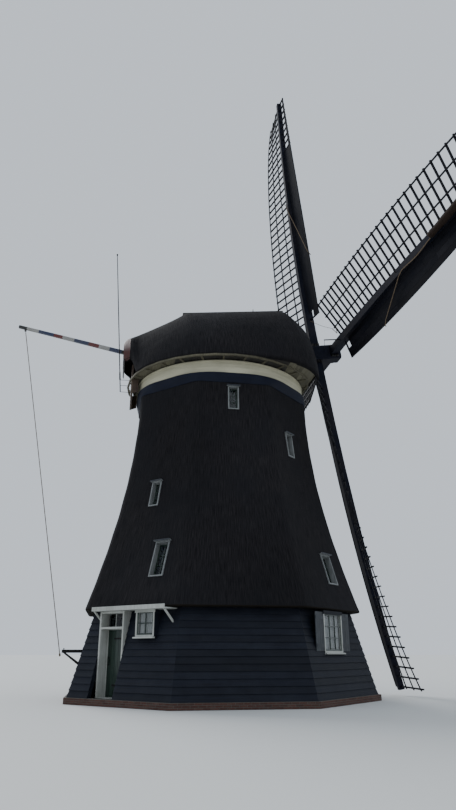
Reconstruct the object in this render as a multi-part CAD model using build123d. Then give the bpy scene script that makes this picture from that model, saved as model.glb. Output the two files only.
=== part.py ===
import os
from math import atan2, cos, degrees, hypot, pi, radians, sin, tan

from build123d import *

# A thatched octagonal polder mill, in millimetres. The origin is on the ground at the tower's
# axis, +Z is up and the sails face -Y. Sides are counted from the sails, clockwise from above.

# Tower
side_count = 8
footing_height = 180
footing_reach = 50
footing_thickness = 240
wall_foot = 4900
wall_head = 4180
wall_thickness = 140
eave_height = 2650
eave_reach = 4540
waist_reach = 3080
waist_height = 10500
flare_power = 1.84
thatch_thickness = 400
thatch_steps = 8
upper_floor_heights = (eave_height, 5300, 7350)
upper_floor_thickness = 70
curb_height = 485
curb_overhang = 40
curb_inner = 2480

# Windows that stand plumb in the boarded storey
casing_board = 50
casing_face = 4540
casing_back = 4150
sash_board = 45
sash_depth = 40
sash_setback = 30
glass_thickness = 8
head_drop = 60
wide_window_width = 1200
wide_window_height = 1170
wide_window_offset = -250
small_window_width = 720
small_window_height = 740
small_window_offset = 680
shutter_width = 500
shutter_thickness = 32
sill_reach = 60
sill_thickness = 45

# Windows that lie in the slope of the thatch: side, offset, middle height, width, height
lining_board = 40
lining_reach = 30
glazing_depth = 170
hood_thickness = 25
hood_reach = 110

# Entrance
door_width = 880
door_height = 1880
door_thickness = 45
door_offset = -650
door_gap = 6
jamb_board = 60
transom_board = 60
threshold_height = 12
hinge_pin = 9
hinge_ring = 17
hinge_height = 140
canopy_left = -1300
canopy_right = 1600
canopy_reach = 4750
canopy_thickness = 35
canopy_fascia = 120
canopy_lift = 5
canopy_drop = 420
canopy_strut = 44

# Cap
cap_clearance = 12
slide_gap = 0.3
cap_ring_inner = 2600
cap_ring_outer = 2950
cap_ring_height = 250
cap_ring_sides = 32
slide_count = 16
rim_lift = 75
rim_radius = 3660
cap_front = -3250
cap_front_half = 2250
cap_back = 3830
cap_back_half = 850
cap_back_rise = 640
cap_back_run = 560
ridge_front = -2600
ridge_front_rise = 1740
ridge_back = 1500
ridge_back_rise = 1270
cap_back_drop = 110
cap_front_drop = 720
cap_places = (-2600, -1300, 0, 1500, 2300, 2900)
cap_steps = 6
cap_thatch = 240
ridge_board_width = 260
ridge_board_height = 90
gable_thickness = 50
rib_count = 28
rib_width = 55
soffit_edge = 70
sheer_spacing = 1150
sheer_width = 320
sheer_height = 350
beam_depth = 360
neck_stone = 310
tail_beam_height = 200
tail_beam_place = 2450
soffit_sides = 32
hanging_board_half = 900
hanging_board_rise = 615
hanging_board_drop = 240
hanging_board_thickness = 70

# Sails
shaft_tilt = 8.6
hub_reach = 4376
hub_rise = 2000
rest_turn = 1.3
stock_half_length = 13060
stock_spacing = 700
stock_bow = 680
stock_root_width = 300
stock_root_depth = 340
stock_tip_width = 170
stock_tip_depth = 200
stock_spans = 6
bar_count = 34
bar_overhang = 60
first_bar = 1550
last_bar = 12950
bar_width = 45
bar_thickness = 60
lead_reach = 820
lath_places = (570, 1120, 1670)
lath_width = 50
lath_thickness = 28
twist_root = 27.4
twist_tip = -1.6
twist_power = 0.45
twist_ease = 0.05
boarded_bars = 26
board_thickness = 30
lath_overrun = 52
board_spans = 8
tip_spans = 3
root_gap = 340
shaft_radius = 290
shaft_back = 6950
journal_radius = 120
journal_length = 420
poll_half = 310
poll_front = 640
poll_back = 760

# Brake lever and its rope
lever_pivot_place = 3300
lever_pivot_drop = 670
lever_slope = 11.0
lever_reach = 4700
lever_inner = 350
lever_root = 150
lever_tip = 95
lever_width = 110
pivot_pin = 25
rope_radius = 14
rope_slope = 0.2
rope_foot_height = 1350
rope_hole_back = 260
knot_radius = 34
fork_spread = 35
fork_pin = 12

# Lightning rod
rod_radius = 16
rod_side = -330
rod_foot_place = 3900
rod_foot_drop = 60
rod_head_place = 4350
rod_length = 5800
rod_clamp_rises = (890, 1490)

# Slender round pieces
round_sides = 8
pin_clearance = 0.4

side_names = (
    "front",
    "front_right",
    "right",
    "rear_right",
    "rear",
    "rear_left",
    "left",
    "front_left",
)
thatch_groups = {
    "thatch_front_and_rear": (0, 4),
    "thatch_left_and_right": (2, 6),
    "thatch_front_corners": (1, 7),
    "thatch_rear_corners": (3, 5),
}
slope_windows = (
    (2, 0, waist_height - 880, 380, 860),
    (1, -250, waist_height - 2300, 420, 860),
    (1, 480, eave_height + 1310, 620, 1000),
    (3, 0, eave_height + 3650, 400, 860),
    (3, 760, eave_height + 1440, 560, 1120),
)

half_side = pi / side_count
thatch_heights = [
    eave_height + (waist_height - eave_height) * n / thatch_steps for n in range(thatch_steps + 1)
]
full_turn = 360
waist_top = waist_height + curb_height
hanging_place = (waist_reach + curb_overhang) / cos(half_side) + 40
door_left = door_offset - door_width / 2 - jamb_board
door_right = door_offset + door_width / 2 + jamb_board
floor_top = footing_height - 20
low_window_head = eave_height - head_drop
rim_height = waist_top + rim_lift
hub_height = rim_height + hub_rise
ridge_front_height = hub_height + ridge_front_rise
ridge_back_height = hub_height + ridge_back_rise
cap_back_height = hub_height - cap_back_drop
ridge_fall = (ridge_front_height - ridge_back_height) / (ridge_back - ridge_front)
sheer_low = waist_top + cap_clearance + cap_ring_height
sheer_high = sheer_low + sheer_height
neck_place = cap_front + gable_thickness + 60
lever_pivot_height = hub_height - lever_pivot_drop


def save(name, shape):
    """Writes one named piece to its own file."""
    shape.label = name
    export_step(shape, f"parts/{name}.step")


def turned(shape, side):
    """Turns a piece made for the front side round to another side."""
    return Rot(0, 0, -full_turn / side_count * side) * shape


def mirrored_side(side):
    """The side across the mill's long plane."""
    return (side_count - side) % side_count


def wedge(low, high):
    """The sector of the front side, from the axis outwards, between two heights."""
    reach = 2 * wall_foot
    spread = reach * tan(half_side)
    corner = Polyline((0, 0), (-spread, -reach), (spread, -reach), close=True)
    return extrude(Plane.XY.offset(low) * make_face(corner), high - low)


def side_panel(profile, low, high):
    """A side's panel from its profile of (distance from the axis, height) points."""
    points = [(0, -distance, height) for distance, height in profile]
    face = make_face(Polyline(*points, close=True))
    return extrude(face, wall_foot, both=True, dir=(1, 0, 0)) & wedge(low, high)


def block(x, y, z):
    """A box from its limits along each axis."""
    box = Box(x[1] - x[0], y[1] - y[0], z[1] - z[0])
    return Pos((x[0] + x[1]) / 2, (y[0] + y[1]) / 2, (z[0] + z[1]) / 2) * box


def skin(rings):
    """A solid through rings of points, with flat triangles from each ring to the next."""
    faces = [make_face(Polyline(*rings[0], close=True)), make_face(Polyline(*rings[-1], close=True))]
    for near, far in zip(rings, rings[1:]):
        for n in range(len(near)):
            m = (n + 1) % len(near)
            faces.append(make_face(Polyline(near[n], near[m], far[m], close=True)))
            faces.append(make_face(Polyline(near[n], far[m], far[n], close=True)))
    return Solid(Shell(faces))


def rod(radius, length):
    """A round bar, centred, along Z, drawn with few sides inside its radius."""
    return extrude(RegularPolygon(radius, round_sides), length / 2, both=True)


def bore(radius, length):
    """The hole for a round bar, drawn with few sides outside its radius."""
    return extrude(RegularPolygon(radius, round_sides, major_radius=False), length / 2, both=True)


def wall_face(height):
    """Distance of the boarded wall's outer face from the axis at a height."""
    return wall_foot - (wall_foot - wall_head) * height / eave_height


def thatch_face(height):
    """Distance of the thatch from the axis: it flares as a power of the way down from the waist."""
    down = (waist_height - height) / (waist_height - eave_height)
    return waist_reach + (eave_reach - waist_reach) * max(down, 0) ** flare_power


def thatch_line(height):
    """Distance of the thatch's flat facets from the axis, between the heights of their edges."""
    for low, high in zip(thatch_heights, thatch_heights[1:]):
        if height <= high:
            share = (height - low) / (high - low)
            return thatch_face(low) + (thatch_face(high) - thatch_face(low)) * share


def slope_plane(height):
    """The plane that touches the front side's thatch at a height, facing outwards."""
    step = 1.0
    fall = (thatch_face(height + step) - thatch_face(height - step)) / (2 * step)
    return Plane((0, -thatch_face(height), height), x_dir=(1, 0, 0), z_dir=(0, -1, -fall))


def boarded_wall():
    """One side of the boarded storey, leaning inwards."""
    profile = (
        (wall_face(footing_height), footing_height),
        (wall_face(eave_height), eave_height),
        (wall_face(eave_height) - wall_thickness, eave_height),
        (wall_face(footing_height) - wall_thickness, footing_height),
    )
    return side_panel(profile, footing_height, eave_height)


def thatch_side(windows):
    """One flared side of the thatched body, with holes for its windows."""
    outer = [(thatch_face(height), height) for height in thatch_heights]
    inner = [(reach - thatch_thickness, height) for reach, height in outer]
    body = side_panel(outer + inner[::-1], eave_height, waist_height)
    for offset, height, width, tall in windows:
        hole = Pos(offset, 0, 0) * Box(width, tall, 4 * thatch_thickness)
        body -= slope_plane(height) * hole
    return body


def octagon_ring(outer, inner, low, high):
    """A ring with eight flat sides outside and inside."""
    big = RegularPolygon(outer, side_count, major_radius=False, rotation=degrees(half_side))
    small = RegularPolygon(inner, side_count, major_radius=False, rotation=degrees(half_side))
    return extrude(Plane.XY.offset(low) * (big - small), high - low)


def octagon_slab(outer, low, high):
    """A slab with eight sides."""
    big = RegularPolygon(outer, side_count, major_radius=False, rotation=degrees(half_side))
    return extrude(Plane.XY.offset(low) * big, high - low)


def frame_ring(width, tall, board, depth):
    """A rectangular frame of boards, centred, with its depth along Z."""
    return Box(width, tall, depth) - Box(width - 2 * board, tall - 2 * board, 2 * depth)


def plumb_window(offset, width, tall):
    """Frame and glass of a window that stands upright in the leaning wall."""
    middle = low_window_head - tall / 2
    place = Plane((offset, -casing_face, middle), x_dir=(1, 0, 0), z_dir=(0, -1, 0))
    depth = casing_face - casing_back
    casing = Pos(0, 0, -depth / 2) * frame_ring(width, tall, casing_board, depth)
    sill = block(
        (-width / 2, width / 2),
        (-tall / 2 - sill_thickness, -tall / 2),
        (-sill_reach, sill_reach),
    )
    inner_width = width - 2 * casing_board
    inner_tall = tall - 2 * casing_board
    sash_place = Pos(0, 0, -sash_setback - sash_depth / 2)
    sash = sash_place * frame_ring(inner_width, inner_tall, sash_board, sash_depth)
    glass = sash_place * Box(
        inner_width - 2 * sash_board, inner_tall - 2 * sash_board, glass_thickness
    )
    return place * (casing + sill + sash), place * glass


def plumb_hole(offset, width, tall):
    """The hole that a plumb window or door casing fills in the leaning wall."""
    return block(
        (offset - width / 2, offset + width / 2),
        (-wall_foot, -casing_back + wall_foot / 10),
        (low_window_head - tall, low_window_head),
    )


def slope_window(offset, height, width, tall, thatch):
    """Frame and glass of a window in the thatch, square to the slope."""
    place = slope_plane(height)
    depth = thatch_thickness + lining_reach
    lining = Pos(offset, 0, lining_reach - depth / 2) * frame_ring(width, tall, lining_board, depth)
    hood = block(
        (offset - width / 2 - lining_board, offset + width / 2 + lining_board),
        (tall / 2, tall / 2 + hood_thickness),
        (0, hood_reach),
    )
    inner_width = width - 2 * lining_board
    inner_tall = tall - 2 * lining_board
    sash_place = Pos(offset, 0, -glazing_depth)
    sash = sash_place * frame_ring(inner_width, inner_tall, sash_board, sash_depth)
    glass = sash_place * Box(
        inner_width - 2 * sash_board, inner_tall - 2 * sash_board, glass_thickness
    )
    return place * (lining + sash) + (place * hood - thatch), place * glass


def doorcase():
    """Jambs, head, transom and threshold of the entrance, upright in the leaning wall."""
    depth = (-casing_face, -casing_back)
    left = block((door_left, door_left + jamb_board), depth, (footing_height, low_window_head))
    right = block((door_right - jamb_board, door_right), depth, (footing_height, low_window_head))
    head = block((door_left, door_right), depth, (low_window_head - jamb_board, low_window_head))
    door_top = footing_height + threshold_height + door_gap + door_height + door_gap
    transom = block((door_left, door_right), depth, (door_top, door_top + transom_board))
    threshold = block(
        (door_left, door_right), depth, (footing_height, footing_height + threshold_height)
    )
    rim = 15
    stop = block(
        (door_left + jamb_board - 1, door_right - jamb_board + 1),
        (-casing_back - door_thickness - rim - door_gap, -casing_back - door_thickness - door_gap),
        (footing_height, door_top + 1),
    ) - block(
        (door_left + jamb_board + rim, door_right - jamb_board - rim),
        (-casing_face, -casing_back),
        (0, door_top - rim),
    )
    knuckles = hinge_knuckles(upper=False)
    return left + right + head + transom + threshold + stop + knuckles, door_top


def hinge_axis():
    """Place of the door's hinge pins, beside the leaf's inner face."""
    return door_right - jamb_board + hinge_pin, -casing_back + hinge_ring + 1


def hinge_knuckles(upper):
    """The hinge leaves: a pin on the frame's half and a ring on the door's half, at two heights."""
    x, y = hinge_axis()
    leaves = []
    for share in (0.14, 0.84):
        base = footing_height + threshold_height + door_height * share
        if upper:
            ring = rod(hinge_ring, hinge_height / 2) - bore(hinge_pin + pin_clearance, hinge_height)
            leaf = Pos(x, y, base + hinge_height / 4 + 1) * ring
            strap = block(
                (x - 120, x - hinge_pin - 1),
                (-casing_back, y),
                (base + 1, base + hinge_height / 2 + 1),
            )
            room = Pos(x, y, base) * bore(hinge_pin + pin_clearance, hinge_height * 2)
            leaves.append(leaf + (strap - room))
        else:
            pin = Pos(x, y, base) * rod(hinge_pin, hinge_height)
            cup = Pos(x, y, base - hinge_height / 4) * rod(hinge_ring, hinge_height / 2)
            strap = block(
                (x, x + jamb_board - hinge_pin),
                (-casing_back, y),
                (base - hinge_height / 2, base),
            )
            leaves.append(pin + cup + strap)
    return leaves[0] + leaves[1]


def door_leaf():
    """The boarded door with its hinge rings and a latch handle."""
    low = footing_height + threshold_height + door_gap
    leaf = block(
        (door_left + jamb_board + door_gap, door_right - jamb_board - door_gap),
        (-casing_back - door_thickness, -casing_back),
        (low, low + door_height),
    )
    handle_x = door_left + jamb_board + 90
    handle_z = low + door_height * 0.52
    grip = block(
        (handle_x - 12, handle_x + 12),
        (-casing_back - door_thickness - 60, -casing_back - door_thickness - 42),
        (handle_z - 80, handle_z + 80),
    )
    feet = [
        block(
            (handle_x - 10, handle_x + 10),
            (-casing_back - door_thickness - 50, -casing_back - door_thickness),
            (handle_z + shift - 10, handle_z + shift + 10),
        )
        for shift in (-65, 65)
    ]
    return leaf + grip + feet[0] + feet[1] + hinge_knuckles(upper=True)


def canopy():
    """The shelf and white fascia over the entrance side, on two brackets."""
    low = low_window_head + canopy_lift
    bite = wall_thickness / 2
    wall = bite - wall_face(low)
    shelf = block((canopy_left, canopy_right), (-canopy_reach, wall), (low, low + canopy_thickness))
    fascia = block(
        (canopy_left, canopy_right),
        (-canopy_reach - 25, -canopy_reach),
        (low, low + canopy_fascia),
    )
    result = shelf + fascia
    for x in (canopy_left + 60, canopy_right - 60):
        foot = bite - wall_face(low - canopy_drop)
        strut = make_face(
            Polyline(
                (x, foot, low - canopy_drop),
                (x, foot, low - canopy_drop + 70),
                (x, -canopy_reach + 80, low),
                (x, -canopy_reach + 10, low),
                close=True,
            )
        )
        result += extrude(strut, canopy_strut / 2, both=True, dir=(1, 0, 0))
    return result - boarded_wall()


def rope_bracket():
    """The wall arm with a horn cleat that the brake rope is tied at."""
    height = rope_foot_height + 120
    reach = rope_line(height) - knot_radius - 45
    bite = wall_thickness / 2
    wall = wall_face(height) - bite
    arm = block((-50, 50), (wall, reach), (height - 50, height + 50))
    brace_foot = height - 520
    brace = make_face(
        Polyline(
            (0, wall_face(brace_foot) - bite, brace_foot),
            (0, wall_face(brace_foot + 90) - bite, brace_foot + 90),
            (0, reach - 120, height - 40),
            (0, reach - 30, height - 40),
            close=True,
        )
    )
    horns = Pos(0, reach - 60, height + 85) * Box(190, 26, 26)
    stem = Pos(0, reach - 60, height + 65) * Box(30, 26, 40)
    bracket = arm + extrude(brace, 35, both=True, dir=(1, 0, 0)) + horns + stem
    return bracket - turned(boarded_wall(), side_names.index("rear"))


def rope_line(height):
    """Distance of the taut brake rope from the axis at a height."""
    top_place, top_height = rope_top()
    return top_place - rope_slope * (top_height - height)


def rope_top():
    """Where the rope hangs from the lever's end."""
    along = lever_reach - rope_hole_back
    return (
        lever_pivot_place + along * cos(radians(lever_slope)),
        lever_pivot_height + along * sin(radians(lever_slope)) - lever_tip,
    )


def cap_half_width(place):
    """Half width of the cap's rim at a place along it: round behind, fuller in front."""
    if place > cap_back - cap_back_run:
        start = cap_back - cap_back_run
        begin = (rim_radius**2 - start**2) ** 0.5
        return begin + (cap_back_half - begin) * (place - start) / cap_back_run
    if place > 0:
        return (rim_radius**2 - place**2) ** 0.5
    power = 2.6
    base = rim_radius * (1 - abs(cap_front / rim_radius) ** power) ** (1 / power)
    full = rim_radius * (1 - abs(place / rim_radius) ** power) ** (1 / power)
    return full + (cap_front_half - base) * (place / cap_front) ** 2


def cap_bottom(place):
    """Height of the rim: level, rising under the back."""
    start = cap_back - cap_back_run
    return rim_height + max(0, place - start) / cap_back_run * cap_back_rise


def cap_top(place):
    """Height of the ridge line, with its slopes to the front and to the back."""
    if place < ridge_front:
        share = (ridge_front - place) / (ridge_front - cap_front)
        return ridge_front_height - cap_front_drop * share
    if place < ridge_back:
        return ridge_front_height - ridge_fall * (place - ridge_front)
    share = (place - ridge_back) / (cap_back - ridge_back)
    return ridge_back_height - (ridge_back_height - cap_back_height) * share**0.86


def cap_section(place, inset):
    """The cap's cross section, a pointed arch, drawn in by an inset."""
    bottom = cap_bottom(place) - (1 if inset else 0)
    top = cap_top(place) - inset
    half = cap_half_width(place) - inset
    crown = ridge_board_width / 2
    right = []
    for n in range(cap_steps + 1):
        share = n / cap_steps
        across = crown + (half - crown) * (1 - share**1.5) ** 0.8
        right.append((across, bottom + (top - bottom) * share))
    left = [(-across, height) for across, height in reversed(right)]
    return [(across, place, height) for across, height in right + left]


def cap_body(inset, start, end):
    """The cap's solid form between two places along it."""
    middles = [*cap_places, cap_back - cap_back_run, cap_back - cap_back_run / 2]
    return skin([cap_section(place, inset) for place in [start, *middles, end]])


def cap_thatch_half(way):
    """One half of the hollow thatched roof, to the left or right of the ridge."""
    shell = cap_body(0, cap_front, cap_back) - cap_body(cap_thatch, cap_front - 1, cap_back + 1)
    reach = 2 * rim_radius
    across = (0, reach) if way > 0 else (-reach, 0)
    return shell & block(across, (2 * cap_front, 2 * cap_back), (waist_top, 2 * rim_height))


def ridge_board():
    """The straight capping along the ridge."""
    overhang = 60
    fall = ridge_fall * overhang
    front = (ridge_front - overhang, ridge_front_height + slide_gap + fall)
    back = (ridge_back + overhang, ridge_back_height + slide_gap - fall)
    points = [
        (0, *front),
        (0, *back),
        (0, back[0], back[1] + ridge_board_height),
        (0, front[0], front[1] + ridge_board_height),
    ]
    profile = make_face(Polyline(*points, close=True))
    return extrude(profile, ridge_board_width / 2, both=True, dir=(1, 0, 0))


def shaft_plane():
    """Frame of the sails: Z along the windshaft to the front, Y upwards, X level."""
    tilt = radians(shaft_tilt)
    return Plane((0, -hub_reach, hub_height), x_dir=(1, 0, 0), z_dir=(0, -cos(tilt), sin(tilt)))


def shaft_height(place):
    """Height of the windshaft's axis at a place along Y."""
    return hub_height - (place + hub_reach) * tan(radians(shaft_tilt))


def cap_lining(near, far):
    """The space inside the cap's thatch between two places along it, with a hair's clearance."""
    room = cap_body(cap_thatch + slide_gap, cap_front - 1, cap_back + 1)
    return room & block((-rim_radius, rim_radius), (near, far), (rim_height, 2 * rim_height))


def front_gable():
    """The boarded front wall of the cap, round the windshaft."""
    form = cap_lining(cap_front, cap_front + gable_thickness)
    hole = Pos(0, 0, -hub_reach) * Cylinder(shaft_radius + 20, 4 * hub_reach)
    return form - shaft_plane() * hole


def rear_gable():
    """The small boarded gable at the back, with a slot for the brake lever."""
    form = cap_lining(cap_back - gable_thickness, cap_back)
    slot = block(
        (-lever_width / 2 - 12, lever_width / 2 + 12),
        (cap_back - 2 * gable_thickness, cap_back + gable_thickness),
        (lever_pivot_height - 90, lever_pivot_height + 230),
    )
    return form - slot


def soffit():
    """The cream edge and the radial ribs under the cap's overhang."""
    low = waist_top + cap_clearance
    outline = []
    for n in range(soffit_sides):
        angle = 2 * pi * n / soffit_sides
        reach = rim_radius - 30
        if cos(angle) > 0:
            reach = min(reach, (-cap_front - 2) / cos(angle))
        outline.append((reach * sin(angle), -reach * cos(angle)))
    outer = make_face(Polyline(*outline, close=True))
    band = outer - offset(outer, -soffit_edge)
    result = extrude(Plane.XY.offset(low) * band, rim_height - low)
    for n in range(rib_count):
        angle = full_turn * (n + 0.5) / rib_count
        toward = cos(radians(angle))
        reach = rim_radius - 60
        if toward > 0:
            reach = min(reach, (-cap_front - 30) / toward)
        rib = block((-rib_width / 2, rib_width / 2), (-reach, -cap_ring_outer), (low, rim_height))
        result += Rot(0, 0, angle) * rib
    slot = block(
        (-hanging_board_half, hanging_board_half),
        (hanging_place, hanging_place + hanging_board_thickness),
        (waist_top, rim_height + cap_clearance),
    )
    return result - slot


def cap_ring():
    """The ring that turns on the tower's curb, with the blocks that it slides on."""
    low = waist_top + cap_clearance
    outer = RegularPolygon(cap_ring_outer, cap_ring_sides)
    inner = RegularPolygon(cap_ring_inner, cap_ring_sides, major_radius=False)
    ring = extrude(Plane.XY.offset(low) * (outer - inner), cap_ring_height)
    for n in range(slide_count):
        middle = (cap_ring_outer + cap_ring_inner) / 2
        slide = block((-110, 110), (-middle - 90, -middle + 90), (waist_top + slide_gap, low))
        ring += Rot(0, 0, full_turn * (n + 0.5) / slide_count) * slide
    return ring


def sheers():
    """The two long beams of the cap's floor."""
    front = cap_front + gable_thickness + 40
    back = cap_back - cap_back_run - 250
    pieces = []
    for side in (-1, 1):
        across = (side * sheer_spacing - sheer_width / 2, side * sheer_spacing + sheer_width / 2)
        pieces.append(block(across, (front, back), (sheer_low, sheer_high)))
    return Compound(pieces)


def breast_beam():
    """The heavy cross beam under the windshaft's neck."""
    half = sheer_spacing + sheer_width / 2
    height = (sheer_high, shaft_height(neck_place) - shaft_radius - neck_stone)
    return block((-half, half), (neck_place, neck_place + beam_depth), height)


def neck_bearing():
    """The stone that carries the windshaft's neck."""
    low = shaft_height(neck_place) - shaft_radius - neck_stone
    seat = shaft_height(neck_place + beam_depth / 2)
    body = block((-420, 420), (neck_place + 40, neck_place + beam_depth - 40), (low, seat - 60))
    bore = Pos(0, 0, -hub_reach) * Cylinder(shaft_radius + slide_gap, 4 * hub_reach)
    return body - shaft_plane() * bore


def tail_beam():
    """The cross beam and bearing block under the windshaft's tail."""
    half = sheer_spacing + sheer_width / 2
    depth = (tail_beam_place - beam_depth / 2, tail_beam_place + beam_depth / 2)
    beam = block((-half, half), depth, (sheer_high, sheer_high + tail_beam_height))
    seat = shaft_height(tail_beam_place)
    low = sheer_high + tail_beam_height - 1
    stone = block((-300, 300), (depth[0] + 40, depth[1] - 40), (low, seat - 20))
    bore = Pos(0, 0, -hub_reach) * Cylinder(journal_radius + slide_gap, 4 * hub_reach)
    return beam + (stone - shaft_plane() * bore)


def windshaft():
    """The tilted shaft with its tail journal."""
    body_length = shaft_back - journal_length - poll_back
    body = Pos(0, 0, -poll_back - body_length / 2) * Cylinder(shaft_radius, body_length)
    tail = Pos(0, 0, -shaft_back + journal_length / 2) * Cylinder(journal_radius, journal_length + 2)
    return shaft_plane() * (body + tail)


def stock_size(distance):
    """Width and depth of a stock at a distance from the shaft."""
    solid_root = 1500
    share = max(0, abs(distance) - solid_root) / (stock_half_length - solid_root)
    width = stock_root_width + (stock_tip_width - stock_root_width) * share
    depth = stock_root_depth + (stock_tip_depth - stock_root_depth) * share
    return width, depth


def bow(distance):
    """How far a stock has bent to the front at a distance from the shaft."""
    return stock_bow * (distance / stock_half_length) ** 2


def stock_line():
    """One stock along Y, tapered to both ends and bowed to the front."""
    inner = 900
    marks = [inner + (stock_half_length - inner) * n / stock_spans for n in range(stock_spans + 1)]
    rings = []
    for place in [-mark for mark in reversed(marks)] + marks:
        width, depth = stock_size(place)
        level = bow(place) if abs(place) > inner else bow(0)
        rings.append(
            [
                (x * width / 2, place, level + z * depth / 2)
                for x, z in ((-1, -1), (1, -1), (1, 1), (-1, 1))
            ]
        )
    return skin(rings)


def twist(distance):
    """Weather angle of the lattice: steep at the root and almost flat at the tip."""
    share = min(max((last_bar - distance) / (last_bar - first_bar), 0), 1)
    least = twist_ease**twist_power
    most = (1 + twist_ease) ** twist_power
    ease = ((share + twist_ease) ** twist_power - least) / (most - least)
    return twist_tip + (twist_root - twist_tip) * ease


def bar_plane(distance):
    """Frame of a sail bar: X along the bar to the trailing side, Y along the stock."""
    turn = radians(twist(distance))
    return Plane(
        (0, distance, bow(distance)), x_dir=(cos(turn), 0, -sin(turn)), z_dir=(sin(turn), 0, cos(turn))
    )


def strip(near, far, low, high, marks):
    """A long board between two reaches and two levels; each mark is a bar's distance and a shift."""
    rings = []
    for distance, shift in marks:
        frame = bar_plane(distance)
        origin = frame.origin + Vector(0, shift, 0)
        corners = ((near, low), (far, low), (far, high), (near, high))
        rings.append(
            [
                tuple(origin + frame.x_dir * across + frame.z_dir * level)
                for across, level in corners
            ]
        )
    return skin(rings)


def bar_distance(number):
    """Distance of a bar from the shaft, counted from the root."""
    return first_bar + (last_bar - first_bar) * number / (bar_count - 1)


def lattice(stock):
    """The lattice on the trailing side: bars from the stock with long laths behind them."""
    length = lath_places[-1] + lath_width / 2 + bar_overhang
    bar = Pos(length / 2, 0, 0) * Box(length, bar_width, bar_thickness)
    pieces = [bar_plane(bar_distance(number)) * bar - stock for number in range(bar_count)]
    # The twist makes each lath pass closest to a bar at the edge nearer the tip.
    marks = [(bar_distance(number), bar_width / 2) for number in range(bar_count - 1)]
    marks = [(first_bar, -lath_overrun), *marks, (last_bar, lath_overrun)]
    high = -bar_thickness / 2 - slide_gap
    for place in lath_places:
        across = (place - lath_width / 2, place + lath_width / 2)
        pieces.append(strip(*across, high - lath_thickness, high, marks))
    return Compound(pieces)


def wind_boards(stock):
    """The boards on the leading side, and the open stubs and lath past them at the tip."""
    start = first_bar - bar_width / 2
    end = bar_distance(boarded_bars - 1)
    marks = [(start + (end - start) * n / board_spans, 0) for n in range(board_spans + 1)]
    boards = strip(-lead_reach, 0, -board_thickness / 2, board_thickness / 2, marks)
    tip = last_bar + lath_overrun
    begin = end - bar_width / 2
    marks = [(begin + (tip - begin) * n / tip_spans, 0) for n in range(tip_spans + 1)]
    edge = lath_width - lead_reach
    hem = strip(-lead_reach, edge, -lath_thickness / 2, lath_thickness / 2, marks)
    stub = Pos(-lead_reach / 2, 0, 0) * Box(lead_reach, bar_width, bar_thickness)
    numbers = [0, *range(boarded_bars - 1, bar_count)]
    stubs = [bar_plane(bar_distance(number)) * stub for number in numbers]
    gap_start = first_bar + bar_width / 2
    gap_end = bar_distance(1) - bar_width / 2
    gap = block((-root_gap, 0), (gap_start, gap_end), (-stock_root_width, stock_root_width))
    return (boards - bar_plane(0) * gap).fuse(hem, *stubs).cut(stock)


def poll_end(stocks):
    """The iron head of the windshaft, with the sockets that the stocks pass through."""
    length = poll_front + poll_back
    body = Pos(0, 0, (poll_front - poll_back) / 2) * Box(2 * poll_half, 2 * poll_half, length)
    body = chamfer(body.edges().filter_by(Axis.Z), 60)
    for stock in stocks:
        body -= stock
    return body


def lever_plane():
    """Frame of the brake lever: X along it to its outer end, Y upwards."""
    slope = radians(lever_slope)
    return Plane(
        (0, lever_pivot_place, lever_pivot_height), x_dir=(0, cos(slope), sin(slope)), z_dir=(1, 0, 0)
    )


def brake_lever():
    """The tapered lever with its pivot pin and the fork under its end for the rope's eye."""
    outline = make_face(
        Polyline(
            (-lever_inner, -lever_root / 2),
            (lever_reach, -lever_tip / 2),
            (lever_reach, lever_tip / 2),
            (-lever_inner, lever_root / 2),
            close=True,
        )
    )
    beam = extrude(lever_plane() * outline, lever_width / 2, both=True)
    pin = lever_plane() * Cylinder(pivot_pin, lever_width + 160)
    top_place, top_height = rope_top()
    depth = (top_place - fork_spread, top_place + fork_spread)
    height = (top_height - fork_spread, top_height + lever_tip * 1.3)
    cheeks = [block((x - 9, x + 9), depth, height) for x in (-fork_spread, fork_spread)]
    pin_length = 2 * fork_spread + 18
    cross = Pos(0, top_place, top_height) * Rot(0, 90, 0) * Cylinder(fork_pin, pin_length)
    return beam + pin + cheeks[0] + cheeks[1] + cross


def brake_rope():
    """The taut rope with the eye at its top and the stopper knot at its foot."""
    top_place, top_height = rope_top()
    foot_place = rope_line(rope_foot_height)
    length = hypot(top_place - foot_place, top_height - rope_foot_height)
    lean = degrees(atan2(top_place - foot_place, top_height - rope_foot_height))
    eye = Rot(0, 90, 0) * (rod(knot_radius, 30) - Cylinder(fork_pin + pin_clearance, 60))
    line = Rot(-lean, 0, 0) * (Pos(0, 0, -(length + 28) / 2) * rod(rope_radius, length - 28))
    knot = Rot(-lean, 0, 0) * (Pos(0, 0, -length) * rod(knot_radius, 2 * knot_radius))
    return Pos(0, top_place, top_height) * (eye + line + knot)


def lever_trestle():
    """The two posts that hold the lever's pivot, on a cross piece over the sheers."""
    low = sheer_high
    depth = (lever_pivot_place - 620, lever_pivot_place - 500)
    half = sheer_spacing + sheer_width / 2
    result = block((-half, half), depth, (low, low + 120))
    arm = (lever_pivot_height - 70, lever_pivot_height + 70)
    for side in (-1, 1):
        inner = side * (lever_width / 2 + 10)
        outer = side * (lever_width / 2 + 70)
        x = (min(inner, outer), max(inner, outer))
        result += block(x, depth, (low + 60, lever_pivot_height + 70))
        result += block(x, (depth[0] + 20, lever_pivot_place + 70), arm)
    return result - lever_plane() * Cylinder(pivot_pin + pin_clearance, 4 * lever_width)


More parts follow.
